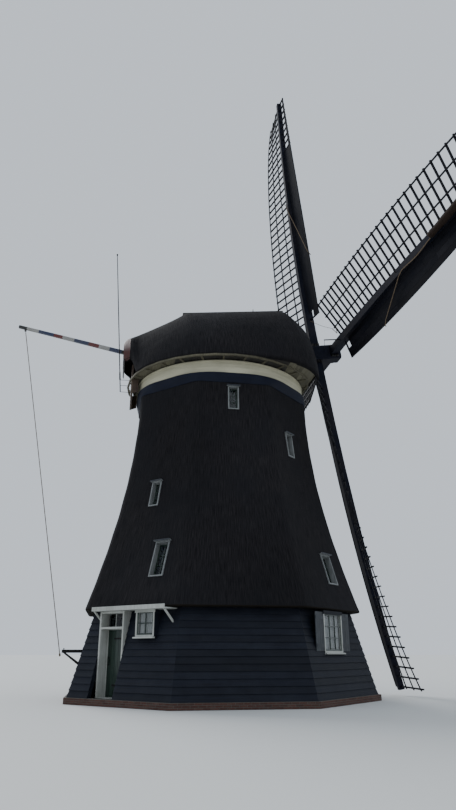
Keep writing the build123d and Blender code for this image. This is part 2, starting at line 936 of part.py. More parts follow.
def hanging_board():
    """The board that hangs from the cap behind the tower's top, with a rounded foot."""
    radius = hanging_board_half
    low = waist_height - hanging_board_drop
    high = waist_top + hanging_board_rise
    outline = make_face(
        [
            Line((-radius, high), (radius, high)),
            Line((radius, high), (radius, low + 350)),
            ThreePointArc((radius, low + 350), (0, low), (-radius, low + 350)),
            Line((-radius, low + 350), (-radius, high)),
        ]
    )
    wall = Plane((0, hanging_place, 0), x_dir=(1, 0, 0), z_dir=(0, -1, 0))
    return extrude(wall * outline, -hanging_board_thickness)


def lightning_rod():
    """The rod behind the cap with its two clamps to the rear gable."""
    run = rod_head_place - rod_foot_place
    length = hypot(run, rod_length)
    lean = degrees(atan2(run, rod_length))
    shank = Rot(-lean, 0, 0) * (Pos(0, 0, length / 2) * rod(rod_radius, length))
    knob = Rot(-lean, 0, 0) * (Pos(0, 0, length) * rod(rod_radius * 2.2, rod_radius * 4))
    result = Pos(rod_side, rod_foot_place, rim_height - rod_foot_drop) * (shank + knob)
    for rise in rod_clamp_rises:
        away = rod_foot_place + run * (rise + rod_foot_drop) / rod_length
        height = rim_height + rise
        result += block((rod_side - 12, rod_side + 12), (cap_back, away), (height - 12, height + 12))
    return result


def build_tower():
    """Footing, floor, boarded storey, thatch and curb."""
    reach = wall_foot + footing_reach
    save("brick_footing", octagon_ring(reach, reach - footing_thickness, 0, footing_height))
    save("ground_floor", octagon_slab(reach - footing_thickness, 0, floor_top))
    frames = []
    panes = []
    plain = []
    wall_windows = {
        1: (wide_window_offset, wide_window_width, wide_window_height),
        3: (small_window_offset, small_window_width, small_window_height),
        5: (-small_window_offset, small_window_width, small_window_height),
        7: (-wide_window_offset, wide_window_width, wide_window_height),
    }
    for side, name in enumerate(side_names):
        wall = boarded_wall()
        if side in wall_windows:
            offset_x, width, tall = wall_windows[side]
            wall -= plumb_hole(offset_x, width, tall)
            wall -= block(
                (offset_x - width / 2, offset_x + width / 2),
                (-wall_foot, -casing_face + sill_reach),
                (low_window_head - tall - sill_thickness, low_window_head - tall),
            )
            frame, pane = plumb_window(offset_x, width, tall)
            frames.append(turned(frame, side))
            panes.append(turned(pane, side))
        if side == 3:
            everything = (-2 * wall_foot, 0)
            left = wall & block((-wall_foot, door_left), everything, (0, eave_height))
            right = wall & block((door_right, wall_foot), everything, (0, eave_height))
            over = wall & block((door_left, door_right), everything, (low_window_head, eave_height))
            save("wall_rear_right_beside_door", turned(left, side))
            save("wall_rear_right", turned(right, side))
            save("wall_over_door", turned(over, side))
        elif side in wall_windows:
            save(f"wall_{name}", turned(wall, side))
        else:
            plain.append(turned(wall, side))
    save("plain_walls", Compound(plain))
    case, door_top = doorcase()
    save("doorcase", turned(case, 3))
    save("door", turned(door_leaf(), 3))
    light_low = door_top + transom_board
    light_high = low_window_head - jamb_board
    glass_place = -casing_back - door_thickness
    light = block(
        (door_left + jamb_board, door_right - jamb_board),
        (glass_place - glass_thickness, glass_place),
        (light_low, light_high),
    )
    panes.append(turned(light, 3))
    save("ground_window_frames", Compound(frames))
    save("ground_window_glass", Compound(panes))
    shutters = []
    middle = low_window_head - wide_window_height / 2
    for side, offset_x in ((1, wide_window_offset), (7, -wide_window_offset)):
        for way in (-1, 1):
            near = offset_x + way * wide_window_width / 2
            far = near + way * shutter_width
            leaf = block(
                (min(near, far), max(near, far)),
                (-casing_face, shutter_thickness - casing_face),
                (middle - wide_window_height / 2 + 40, middle + wide_window_height / 2 - 20),
            )
            shutters.append(turned(leaf, side))
    save("shutters", Compound(shutters))
    save("canopy", turned(canopy(), 3))
    save("rope_bracket", rope_bracket())


def build_thatch():
    """The eight thatched sides and their windows."""
    by_side = {side: [] for side in range(side_count)}
    for side, offset_x, height, width, tall in slope_windows:
        by_side[side].append((offset_x, height, width, tall))
        by_side[mirrored_side(side)].append((-offset_x, height, width, tall))
    frames = []
    panes = []
    for name, sides in thatch_groups.items():
        pieces = []
        for side in sides:
            thatch = thatch_side(by_side[side])
            pieces.append(turned(thatch, side))
            for window in by_side[side]:
                frame, pane = slope_window(*window, thatch)
                frames.append(turned(frame, side))
                panes.append(turned(pane, side))
        save(name, Compound(pieces))
    save("thatch_window_frames", Compound(frames))
    save("thatch_window_glass", Compound(panes))
    floors = []
    for height in upper_floor_heights:
        top = height + upper_floor_thickness
        reach = thatch_line(top) - thatch_thickness - slide_gap
        floors.append(octagon_slab(reach, height, top))
    save("upper_floors", Compound(floors))
    reach = waist_reach + curb_overhang
    save("curb_ring", octagon_ring(reach, curb_inner, waist_height, waist_top))


def build_cap():
    """The turning cap with its frame, roof, gables and fittings."""
    save("cap_ring", cap_ring())
    save("soffit", soffit())
    save("cap_sheers", sheers())
    save("breast_beam", breast_beam())
    save("neck_bearing", neck_bearing())
    save("tail_beam", tail_beam())
    save("cap_thatch_left", cap_thatch_half(1))
    save("cap_thatch_right", cap_thatch_half(-1))
    save("ridge_board", ridge_board())
    save("front_gable", front_gable())
    save("rear_gable", rear_gable())
    save("hanging_board", hanging_board())
    save("lever_trestle", lever_trestle())
    save("lightning_rod", lightning_rod())


def build_sails():
    """The windshaft, poll end, stocks, lattices and wind boards."""
    save("windshaft", windshaft())
    stock = stock_line()
    inner_place = Rot(0, 0, rest_turn) * Pos(0, 0, -stock_spacing / 2)
    outer_place = Rot(0, 0, rest_turn + 90) * Pos(0, 0, stock_spacing / 2)
    inner = inner_place * stock
    outer = outer_place * stock
    save("inner_stock", shaft_plane() * inner)
    save("outer_stock", shaft_plane() * outer)
    upright = Rot(0, 0, -rest_turn)
    head = Rot(0, 0, rest_turn) * poll_end([upright * inner, upright * outer])
    save("poll_end", shaft_plane() * head)
    open_side = lattice(stock)
    board_side = wind_boards(stock)
    for number in range(4):
        level = -stock_spacing / 2 if number % 2 == 0 else stock_spacing / 2
        place = Rot(0, 0, rest_turn + 90 * number) * Pos(0, 0, level)
        save(f"sail_lattice_{number + 1}", shaft_plane() * place * open_side)
        save(f"wind_boards_{number + 1}", shaft_plane() * place * board_side)


def build_brake():
    """The lever behind the cap and its rope."""
    save("brake_lever", brake_lever())
    save("brake_rope", brake_rope())


os.makedirs("parts", exist_ok=True)
build_tower()
build_thatch()
build_cap()
build_sails()
build_brake()
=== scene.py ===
import math

import bpy
import numpy as np
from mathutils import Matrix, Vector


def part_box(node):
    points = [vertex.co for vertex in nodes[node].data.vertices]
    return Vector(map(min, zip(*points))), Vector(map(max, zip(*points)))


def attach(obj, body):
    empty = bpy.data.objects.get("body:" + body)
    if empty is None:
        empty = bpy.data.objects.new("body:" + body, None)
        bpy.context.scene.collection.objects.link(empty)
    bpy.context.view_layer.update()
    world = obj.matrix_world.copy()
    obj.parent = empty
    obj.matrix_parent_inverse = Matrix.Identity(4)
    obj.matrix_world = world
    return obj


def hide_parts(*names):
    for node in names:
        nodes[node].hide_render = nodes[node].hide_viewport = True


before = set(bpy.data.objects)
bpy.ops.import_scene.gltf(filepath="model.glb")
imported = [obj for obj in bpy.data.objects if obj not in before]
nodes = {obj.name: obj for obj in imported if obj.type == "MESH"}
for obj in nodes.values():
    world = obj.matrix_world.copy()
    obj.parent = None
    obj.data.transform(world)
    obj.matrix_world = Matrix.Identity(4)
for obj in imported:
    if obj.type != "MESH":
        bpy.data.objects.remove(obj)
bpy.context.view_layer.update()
print("frame loaded")

# Metres throughout. A side is made facing -Y and then turned by eighths, as in the CAD source.
eighth = math.pi / 4
halfEighth = math.pi / 8
slant = math.tan(halfEighth)
dice = np.random.default_rng(8)


# Shader groups: a grained surface for reed, wood and rope, and a mottled one for the rest
def newGroup(name, sockets, outputs):
    group = bpy.data.node_groups.new(name, "ShaderNodeTree")
    for label, kind, value in sockets:
        socket = group.interface.new_socket(label, in_out="INPUT", socket_type=kind)
        if value is not None:
            socket.default_value = value
    for label, kind in outputs:
        group.interface.new_socket(label, in_out="OUTPUT", socket_type=kind)
    return group, group.nodes.new("NodeGroupInput"), group.nodes.new("NodeGroupOutput")


def addNode(tree, kind, inputs=(), **values):
    # an input is joined to a socket or given a plain value
    made = tree.nodes.new(kind)
    for key, value in values.items():
        setattr(made, key, value)
    for key, source in inputs:
        if hasattr(source, "is_linked"):
            tree.links.new(source, made.inputs[key])
        else:
            made.inputs[key].default_value = source
    return made


def mixColours(tree, share, first, second):
    # first + (second - first) * share, colour by colour
    inputs = [("Factor", share), (6, first), (7, second)]
    return addNode(tree, "ShaderNodeMix", inputs, data_type="RGBA").outputs[2]


surfaceSockets = (
    ("Vector", "NodeSocketVector", None),
    ("Tone", "NodeSocketFloat", 0.5),
    ("Dark", "NodeSocketColor", (0.1, 0.1, 0.1, 1)),
    ("Light", "NodeSocketColor", (0.3, 0.3, 0.3, 1)),
    ("Weather", "NodeSocketColor", (0.2, 0.2, 0.2, 1)),
    ("Weathering", "NodeSocketFloat", 0.3),
    ("Along", "NodeSocketFloat", 1.0),
    ("Across", "NodeSocketFloat", 30.0),
    ("Patch", "NodeSocketFloat", 0.8),
    ("Smooth", "NodeSocketFloat", 0.4),
    ("Rough", "NodeSocketFloat", 0.8),
)
surfaceOutputs = (
    ("Color", "NodeSocketColor"),
    ("Roughness", "NodeSocketFloat"),
    ("Height", "NodeSocketFloat"),
)


def surfaceGroup(name, detail, stretched):
    # fine noise mixes dark and light, slow patches add weather, and tone makes the whole lighter or darker
    group, given, out = newGroup(name, surfaceSockets, surfaceOutputs)
    given = given.outputs
    place, fineScale = given["Vector"], given["Across"]
    if stretched:
        stretch = [("X", given["Along"]), ("Y", given["Across"]), ("Z", given["Across"])]
        scale = addNode(group, "ShaderNodeCombineXYZ", stretch).outputs[0]
        product = addNode(group, "ShaderNodeVectorMath", [(0, place), (1, scale)], operation="MULTIPLY")
        place, fineScale = product.outputs[0], 1.0
    inputs = [("Vector", place), ("Scale", fineScale), ("Detail", detail), ("Roughness", 0.62)]
    fine = addNode(group, "ShaderNodeTexNoise", inputs).outputs["Fac"]
    inputs = [("Vector", given["Vector"]), ("Scale", given["Patch"]), ("Detail", 5.0), ("Roughness", 0.6)]
    patch = addNode(group, "ShaderNodeTexNoise", inputs).outputs["Fac"]
    spread = addNode(group, "ShaderNodeMapRange", [("Value", fine), ("From Min", 0.3), ("From Max", 0.7)])
    grained = mixColours(group, spread.outputs[0], given["Dark"], given["Light"])
    inputs = [("Value", patch), ("From Min", 0.42), ("From Max", 0.68), ("To Max", given["Weathering"])]
    worn = addNode(group, "ShaderNodeMapRange", inputs)
    aged = mixColours(group, worn.outputs[0], grained, given["Weather"])
    inputs = [("Value", given["Tone"]), ("To Min", 0.68), ("To Max", 1.32)]
    lift = addNode(group, "ShaderNodeMapRange", inputs)
    toned = addNode(group, "ShaderNodeHueSaturation", [("Value", lift.outputs[0]), ("Color", aged)])
    inputs = [("Value", fine), ("To Min", given["Smooth"]), ("To Max", given["Rough"])]
    rough = addNode(group, "ShaderNodeMapRange", inputs)
    group.links.new(toned.outputs[0], out.inputs["Color"])
    group.links.new(rough.outputs[0], out.inputs["Roughness"])
    group.links.new(fine, out.inputs["Height"])
    return group


grainGroup = surfaceGroup("grainedSurface", 6.0, True)
mottleGroup = surfaceGroup("mottledSurface", 7.0, False)


def newTree(name):
    made = bpy.data.materials.new(name)
    made.use_nodes = True
    return made, made.node_tree


def grainAlong(tree, place, axis):
    # the object's own axes, with the one that the grain follows first
    if axis == "x":
        return place
    parts = addNode(tree, "ShaderNodeSeparateXYZ", [(0, place)])
    order = {"y": "YXZ", "z": "ZXY"}[axis]
    turned = [(n, parts.outputs[letter]) for n, letter in enumerate(order)]
    return addNode(tree, "ShaderNodeCombineXYZ", turned).outputs[0]


def linkSurface(tree, group, relief, strength):
    # colour, roughness and bump of a surface group into the material's own shader
    shader = tree.nodes["Principled BSDF"]
    inputs = [("Height", group.outputs["Height"]), ("Distance", relief), ("Strength", strength)]
    bump = addNode(tree, "ShaderNodeBump", inputs)
    tree.links.new(group.outputs["Color"], shader.inputs["Base Color"])
    tree.links.new(group.outputs["Roughness"], shader.inputs["Roughness"])
    tree.links.new(bump.outputs[0], shader.inputs["Normal"])
    return shader


def newMaterial(name, look):
    # a look's numbers go to its surface group and to the shader
    made, tree = newTree(name)
    if look.get("source") == "grain":
        place = addNode(tree, "ShaderNodeAttribute", attribute_name="grain").outputs["Vector"]
        tone = addNode(tree, "ShaderNodeAttribute", attribute_name="tone").outputs["Fac"]
    else:
        place = addNode(tree, "ShaderNodeTexCoord").outputs["Object"]
        place = grainAlong(tree, place, look.get("axis", "x"))
        tone = 0.5
    inputs = [("Vector", place), ("Tone", tone)]
    inputs += [(label, (*look[label.lower()], 1)) for label in ("Dark", "Light", "Weather")]
    plain = ("Weathering", "Along", "Across", "Patch", "Smooth", "Rough")
    inputs += [(label, look[label.lower()]) for label in plain if label.lower() in look]
    surface = grainGroup if look.get("grained", True) else mottleGroup
    group = addNode(tree, "ShaderNodeGroup", inputs, node_tree=surface)
    shader = linkSurface(tree, group, look.get("relief", 0.004), look.get("strength", 0.9))
    shader.inputs["Metallic"].default_value = look.get("metallic", 0.0)
    shader.inputs["Specular IOR Level"].default_value = look.get("specular", 0.4)
    shader.inputs["Coat Weight"].default_value = look.get("coat", 0.0)
    shader.inputs["Alpha"].default_value = look.get("alpha", 1.0)
    return made


# Looks in linear colours. The source is the piece's own grain attribute, or else the object's axes.
looks = {
    "thatchReed": dict(
        source="grain", dark=(0.0038, 0.0037, 0.0050), light=(0.029, 0.027, 0.029),
        weather=(0.013, 0.0135, 0.016), weathering=0.6, along=2.2, across=42.0, patch=0.55, smooth=0.85,
        rough=1.0, relief=0.02, specular=0.08,
    ),
    "thatchCut": dict(
        grained=False, dark=(0.004, 0.0035, 0.003), light=(0.026, 0.021, 0.016),
        weather=(0.01, 0.009, 0.008), across=60.0, patch=1.5, smooth=0.85, rough=1.0, relief=0.012,
        specular=0.08,
    ),
    # black tar, with a blue tint that is painted sky reflection
    "tarredBoardsSkySheen": dict(
        source="grain", dark=(0.0025, 0.0034, 0.0075), light=(0.0085, 0.0115, 0.021),
        weather=(0.018, 0.022, 0.031), weathering=0.35, along=1.2, across=45.0, patch=1.4, smooth=0.5,
        rough=0.8, relief=0.002, specular=0.22,
    ),
    # the same black tar and painted blue sky reflection, on the CAD walls
    "wallBoardsSkySheen": dict(
        axis="z", dark=(0.0025, 0.0034, 0.007), light=(0.008, 0.011, 0.019), weather=(0.015, 0.018, 0.024),
        along=1.2, across=30.0, smooth=0.55, rough=0.85, specular=0.2,
    ),
    "whitePaint": dict(
        axis="z", dark=(0.38, 0.39, 0.36), light=(0.54, 0.55, 0.52), weather=(0.27, 0.28, 0.24),
        weathering=0.45, along=1.5, across=26.0, patch=2.2, smooth=0.35, rough=0.65, relief=0.001,
    ),
    # the same white paint dimmed to grey as painted shade, for the frames of the windows in the thatch
    "shadedWhitePaint": dict(
        axis="z", dark=(0.13, 0.14, 0.14), light=(0.27, 0.28, 0.28), weather=(0.08, 0.085, 0.085),
        weathering=0.45, along=1.5, across=26.0, patch=2.2, smooth=0.45, rough=0.75, relief=0.001,
    ),
    "greenSash": dict(
        source="grain", dark=(0.006, 0.016, 0.012), light=(0.014, 0.034, 0.024),
        weather=(0.03, 0.045, 0.036), weathering=0.3, along=2.0, across=40.0, patch=3.0, smooth=0.22,
        rough=0.45, relief=0.0008, coat=0.3,
    ),
    "greenDoor": dict(
        axis="z", dark=(0.007, 0.018, 0.013), light=(0.016, 0.038, 0.027), weather=(0.03, 0.045, 0.036),
        weathering=0.3, along=1.5, across=34.0, patch=2.5, smooth=0.24, rough=0.5, relief=0.001, coat=0.25,
    ),
    "greyShutters": dict(
        source="grain", dark=(0.022, 0.027, 0.032), light=(0.046, 0.052, 0.060),
        weather=(0.075, 0.078, 0.084), weathering=0.4, along=1.4, across=36.0, patch=2.5, smooth=0.5,
        rough=0.8, relief=0.0015,
    ),
    "creamPaint": dict(
        source="grain", dark=(0.44, 0.41, 0.29), light=(0.60, 0.57, 0.42), weather=(0.30, 0.28, 0.19),
        weathering=0.35, along=0.7, across=14.0, patch=1.2, smooth=0.45, rough=0.75, relief=0.001,
    ),
    "shadedCream": dict(
        axis="z", dark=(0.085, 0.078, 0.050), light=(0.16, 0.145, 0.10), weather=(0.045, 0.040, 0.028),
        weathering=0.6, along=1.0, across=22.0, patch=2.4, smooth=0.6, rough=0.9, relief=0.0015,
    ),
    # cream soffit paint darkened as painted shade under the cap
    "shadedSoffitBoards": dict(
        source="grain", dark=(0.10, 0.092, 0.060), light=(0.19, 0.175, 0.12), weather=(0.05, 0.045, 0.03),
        weathering=0.5, along=1.0, across=22.0, patch=1.6, smooth=0.6, rough=0.9, relief=0.0015,
    ),
    "hangingBoards": dict(
        source="grain", dark=(0.024, 0.014, 0.010), light=(0.072, 0.044, 0.030),
        weather=(0.13, 0.095, 0.062), weathering=0.5, along=1.2, across=24.0, patch=1.3, smooth=0.5,
        rough=0.8, relief=0.002,
    ),
    "redBoards": dict(
        source="grain", dark=(0.034, 0.0050, 0.0045), light=(0.075, 0.012, 0.010),
        weather=(0.035, 0.014, 0.013), weathering=0.4, along=1.4, across=30.0, patch=2.0, smooth=0.45,
        rough=0.75, relief=0.0015,
    ),
    "oakBeams": dict(
        dark=(0.10, 0.065, 0.038), light=(0.24, 0.17, 0.11), weather=(0.16, 0.14, 0.12),
        along=1.0, across=20.0, patch=1.2, smooth=0.6, rough=0.9, relief=0.003,
    ),
    "floorPlanks": dict(
        axis="y", dark=(0.16, 0.11, 0.07), light=(0.32, 0.24, 0.16), weather=(0.22, 0.2, 0.17),
        along=0.8, across=14.0, patch=1.0, smooth=0.6, rough=0.85, relief=0.002,
    ),
    "darkTimber": dict(
        axis="y", dark=(0.010, 0.009, 0.009), light=(0.034, 0.030, 0.027), weather=(0.06, 0.056, 0.05),
        weathering=0.4, along=1.2, across=30.0, patch=1.5, smooth=0.5, rough=0.8, relief=0.002,
    ),
    "latticeTimber": dict(
        grained=False, dark=(0.0028, 0.0029, 0.0050), light=(0.010, 0.010, 0.016),
        weather=(0.022, 0.022, 0.026), weathering=0.4, across=18.0, patch=0.9, smooth=0.6, rough=0.85,
        relief=0.001, specular=0.12,
    ),
    "windBoards": dict(
        source="grain", dark=(0.0030, 0.0033, 0.0055), light=(0.010, 0.0105, 0.016),
        weather=(0.024, 0.023, 0.026), weathering=0.4, along=0.8, across=28.0, patch=1.0, smooth=0.65,
        rough=0.9, relief=0.0015, specular=0.1,
    ),
    "stockPaint": dict(
        grained=False, dark=(0.0040, 0.0052, 0.0110), light=(0.011, 0.013, 0.024),
        weather=(0.034, 0.028, 0.027), weathering=0.4, across=9.0, patch=0.8, smooth=0.65, rough=0.9,
        relief=0.0008, specular=0.12,
    ),
    "blackIron": dict(
        grained=False, dark=(0.0035, 0.0035, 0.0042), light=(0.013, 0.0125, 0.0135),
        weather=(0.030, 0.020, 0.014), weathering=0.35, across=30.0, patch=4.0, smooth=0.45, rough=0.7,
        relief=0.001, metallic=0.3, specular=0.3,
    ),
    "brickFace": dict(
        source="grain", grained=False, dark=(0.045, 0.019, 0.014), light=(0.105, 0.046, 0.033),
        weather=(0.08, 0.068, 0.056), weathering=0.45, across=34.0, patch=5.0, smooth=0.75, rough=0.95,
        relief=0.003,
    ),
    "mortar": dict(
        grained=False, dark=(0.085, 0.078, 0.070), light=(0.15, 0.14, 0.125), weather=(0.06, 0.06, 0.048),
        weathering=0.5, across=60.0, patch=3.0, smooth=0.85, rough=1.0, relief=0.003,
    ),
    "leadSheet": dict(
        grained=False, dark=(0.016, 0.020, 0.027), light=(0.036, 0.043, 0.054), weather=(0.06, 0.065, 0.07),
        weathering=0.4, across=16.0, patch=2.0, smooth=0.45, rough=0.75, relief=0.002, metallic=0.2,
    ),
    "apronSheet": dict(
        source="grain", dark=(0.0022, 0.0038, 0.0115), light=(0.0055, 0.0085, 0.023),
        weather=(0.012, 0.016, 0.030), weathering=0.35, along=1.5, across=12.0, patch=1.6, smooth=0.5,
        rough=0.8, relief=0.0015, specular=0.2,
    ),
    "netCurtain": dict(
        source="grain", dark=(0.60, 0.63, 0.62), light=(0.80, 0.83, 0.82), weather=(0.5, 0.52, 0.51),
        weathering=0.3, along=90.0, across=160.0, patch=3.0, smooth=0.8, rough=1.0, relief=0.001,
    ),
    "dressedStone": dict(
        grained=False, dark=(0.24, 0.23, 0.21), light=(0.40, 0.39, 0.36), weather=(0.18, 0.17, 0.14),
        across=40.0, patch=3.0, smooth=0.8, rough=1.0, relief=0.002,
    ),
    "hempRope": dict(
        source="grain", dark=(0.085, 0.055, 0.033), light=(0.22, 0.16, 0.10), weather=(0.12, 0.10, 0.08),
        along=40.0, across=260.0, patch=3.0, smooth=0.8, rough=1.0, relief=0.002,
    ),
    "brownCanvas": dict(
        source="grain", dark=(0.012, 0.0075, 0.0055), light=(0.036, 0.023, 0.017),
        weather=(0.020, 0.014, 0.012), weathering=0.4, along=9.0, across=60.0, patch=1.5, smooth=0.8,
        rough=0.97, relief=0.004, specular=0.15,
    ),
    # Old panes: coloured nearly black as painted shade of the dark inside, with a slow ripple that breaks up
    # the reflection
    "oldGlassInShade": dict(
        grained=False, dark=(0.012, 0.016, 0.020), light=(0.03, 0.038, 0.045), weather=(0.07, 0.08, 0.085),
        weathering=0.3, across=3.0, patch=2.0, smooth=0.03, rough=0.14, strength=0.35, specular=0.8,
        alpha=0.6,
    ),
}
looks["whiteTrim"] = {**looks["whitePaint"], "source": "grain"}
looks["darkBoards"] = {**looks["darkTimber"], "source": "grain"}
# the ground windows' panes, with less of the painted shade
looks["clearGlass"] = {**looks["oldGlassInShade"], "alpha": 0.22}
materials = {name: newMaterial(name, look) for name, look in looks.items()}
print("materials made")


def dressNode(name, material):
    # a node of the CAD model in one of the looks
    nodes[name].data.materials.clear()
    nodes[name].data.materials.append(materials[material])


# Mesh helpers
def toSide(points, side):
    # turned about the upright, by an eighth of a turn for each side
    turn = -eighth * side
    x, y, z = np.moveaxis(np.asarray(points, float), -1, 0)
    right = x * math.cos(turn) - y * math.sin(turn)
    ahead = x * math.sin(turn) + y * math.cos(turn)
    return np.stack([right, ahead, z], -1)


def onSide(side, x=0.0, y=0.0, z=0.0):
    # the move from a piece's own frame, which stands at (x, y, z) on a side, to the mill's
    return lambda points: toSide(points + np.array([x, y, z]), side)


def stacked(shape, *parts):
    # arrays of one grid side by side, as the coordinates of its points
    return np.stack([np.broadcast_to(part, shape) for part in parts], -1)


def addPiece(name, points, faces, material, body, grain=None, tone=None, smooth=False, bevel=0.0):
    # grain and tone stay on the points, for the materials
    points = np.asarray(points, float).reshape(-1, 3)
    grain = points if grain is None else grain
    tone = np.full(len(points), 0.5) if tone is None else tone
    mesh = bpy.data.meshes.new(name)
    mesh.from_pydata(points.tolist(), [], faces if isinstance(faces, list) else faces.tolist())
    mesh.update()
    grainData = mesh.attributes.new("grain", "FLOAT_VECTOR", "POINT").data
    grainData.foreach_set("vector", np.asarray(grain, np.float32).ravel())
    toneData = mesh.attributes.new("tone", "FLOAT", "POINT").data
    toneData.foreach_set("value", np.asarray(tone, np.float32))
    mesh.polygons.foreach_set("use_smooth", np.full(len(mesh.polygons), smooth))
    mesh.materials.append(materials[material])
    made = bpy.data.objects.new(name, mesh)
    bpy.context.scene.collection.objects.link(made)
    if bevel:
        edge = made.modifiers.new("softEdge", "BEVEL")
        edge.width = bevel
        edge.segments = 2
        edge.limit_method = "ANGLE"
    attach(made, body)
    return made


boxFaces = np.array([[0, 3, 2, 1], [4, 5, 6, 7], [0, 1, 5, 4], [1, 2, 6, 5], [2, 3, 7, 6], [3, 0, 4, 7]])
boxPick = np.array([[0, 0, 0], [1, 0, 0], [1, 1, 0], [0, 1, 0], [0, 0, 1], [1, 0, 1], [1, 1, 1], [0, 1, 1]])


def boxCorners(low, high):
    # low + (high - low) at each corner
    low, high = np.asarray(low, float), np.asarray(high, float)
    return low + (high - low) * boxPick


def slopedBox(low, high, feet=None, tops=None):
    # feet and tops are the heights on the left and on the right
    corners = boxCorners(low, high)
    if feet is not None:
        corners[[0, 3], 2], corners[[1, 2], 2] = feet
    if tops is not None:
        corners[[4, 7], 2], corners[[5, 6], 2] = tops
    return corners


def addBoxes(name, corners, material, body, along=0, place=None, bevel=0.0, tones=None):
    # corners are (count, 8, 3) in a frame of their own, place moves them, and along is the grain's axis
    corners = np.asarray(corners, float)
    count = len(corners)
    order = [along, (along + 1) % 3, (along + 2) % 3]
    grain = corners[:, :, order] + dice.uniform(0, 50, (count, 1, 3))
    if tones is None:
        tones = dice.uniform(0.15, 0.85, count)
    points = corners.reshape(-1, 3)
    if place is not None:
        points = place(points)
    faces = (np.arange(count)[:, None, None] * 8 + boxFaces[None]).reshape(-1, 4)
    grain, tone = grain.reshape(-1, 3), np.repeat(tones, 8)
    return addPiece(name, points, faces, material, body, grain, tone, bevel=bevel)


def gridFaces(rows, columns, closeRows=False, closeColumns=False):
    # quads between the rows and columns of a grid, closed round where asked
    r = np.arange(rows if closeRows else rows - 1)
    c = np.arange(columns if closeColumns else columns - 1)
    r, c = np.meshgrid(r, c, indexing="ij")
    up, on = (r + 1) % rows, (c + 1) % columns
    corners = [r * columns + c, up * columns + c, up * columns + on, r * columns + on]
    return np.stack(corners, -1).reshape(-1, 4)


def addTube(name, path, radius, material, body, around=10, ripple=None):
    # rings of the radius, square to the path, with a fan of triangles over each end
    path = np.asarray(path, float)
    run = np.gradient(path, axis=0)
    run /= np.linalg.norm(run, axis=1, keepdims=True)
    guide = np.where(np.abs(run[:, 2:3]) < 0.9, [[0.0, 0.0, 1.0]], [[1.0, 0.0, 0.0]])
    side = np.cross(run, guide)
    side /= np.linalg.norm(side, axis=1, keepdims=True)
    lift = np.cross(side, run)
    turn = np.linspace(0, 2 * np.pi, around, endpoint=False)
    length = np.concatenate([[0], np.cumsum(np.linalg.norm(np.diff(path, axis=0), axis=1))])
    size = np.broadcast_to(np.asarray(radius, float).reshape(-1, 1), (len(path), 1))
    reach = size if ripple is None else size * (1 + ripple(turn[None, :], length[:, None]))
    ring = np.cos(turn)[None, :, None] * side[:, None] + np.sin(turn)[None, :, None] * lift[:, None]
    points = np.concatenate([(path[:, None] + reach[..., None] * ring).reshape(-1, 3), path[[0, -1]]])
    faces = gridFaces(len(path), around, closeColumns=True).tolist()
    first, last = len(points) - 2, len(points) - 1
    base = (len(path) - 1) * around
    for n in range(around):
        m = (n + 1) % around
        faces += [[first, n, m], [last, base + m, base + n]]
    grain = np.zeros((len(points), 3))
    grain[:-2, 0] = np.repeat(length, around)
    grain[:-2, 1] = (size * np.cos(turn)).ravel()
    grain[:-2, 2] = (size * np.sin(turn)).ravel()
    return addPiece(name, points, faces, material, body, grain, smooth=True)


# Camera at the photo's angle
cameraValues = {
    "lens": 28.93, "place": (-23.631, 3.650, 1.400), "pitch": 20.89, "heading": 9.57, "sight": 1500,
}
camera = bpy.data.objects.new("camera", bpy.data.cameras.new("camera"))
bpy.context.scene.collection.objects.link(camera)
camera.data.lens = cameraValues["lens"]
camera.data.sensor_width = 36
camera.data.clip_end = cameraValues["sight"]
camera.location = cameraValues["place"]
camera.rotation_euler = (
    math.radians(90 + cameraValues["pitch"]),
    0,
    math.radians(-90 - cameraValues["heading"]),
)
bpy.context.scene.camera = camera

# Soft light and a pale floor
lightValues = {
    "sky": (0.80, 0.87, 0.96), "skyStrength": 0.9, "sun": 2.2, "sunSpread": 0.6, "sunLean": 56.0,
    "sunTurn": 24.0,
}
world = bpy.data.worlds.new("sky")
bpy.context.scene.world = world
world.use_nodes = True
world.node_tree.nodes["Background"].inputs[0].default_value = (*lightValues["sky"], 1)
world.node_tree.nodes["Background"].inputs[1].default_value = lightValues["skyStrength"]
sun = bpy.data.objects.new("sun", bpy.data.lights.new("sun", "SUN"))
bpy.context.scene.collection.objects.link(sun)
sun.data.energy = lightValues["sun"]
sun.data.angle = lightValues["sunSpread"]
sun.rotation_euler = (0, math.radians(lightValues["sunLean"]), math.radians(lightValues["sunTurn"]))

floorValues = {"reach": 700.0, "level": -0.004, "color": (0.62, 0.63, 0.62), "rough": 0.9}
floorMesh = bpy.data.meshes.new("studioFloor")
reach, level = floorValues["reach"], floorValues["level"]
floorCorners = [(x * reach, y * reach, level) for x, y in ((-1, -1), (1, -1), (1, 1), (-1, 1))]
floorMesh.from_pydata(floorCorners, [], [(0, 1, 2, 3)])
floor = bpy.data.objects.new("studioFloor", floorMesh)
bpy.context.scene.collection.objects.link(floor)
floorMaterial, floorTree = newTree("paleFloor")
floorTree.nodes["Principled BSDF"].inputs["Base Color"].default_value = (*floorValues["color"], 1)
floorTree.nodes["Principled BSDF"].inputs["Roughness"].default_value = floorValues["rough"]
floorMesh.materials.append(floorMaterial)
print("camera, light and floor placed")


# Shapes shared by the tower's pieces
towerShape = {
    "wallFoot": 4.900,
    "wallLean": 0.720 / 2.650,
    "eave": 2.650,
    "waist": 10.500,
    "waistReach": 3.080,
    "flare": 1.460,
    "flarePower": 1.84,
    "thickness": 0.400,
}


def wallDistance(z):
    # the boarded wall leans in evenly with height
    return towerShape["wallFoot"] - towerShape["wallLean"] * z


def flatDistance(z):
    # reach of a flat side = waistReach + flare * (share of the way down) ** flarePower
    down = np.clip((towerShape["waist"] - z) / (towerShape["waist"] - towerShape["eave"]), 0, None)
    return towerShape["waistReach"] + towerShape["flare"] * down ** towerShape["flarePower"]


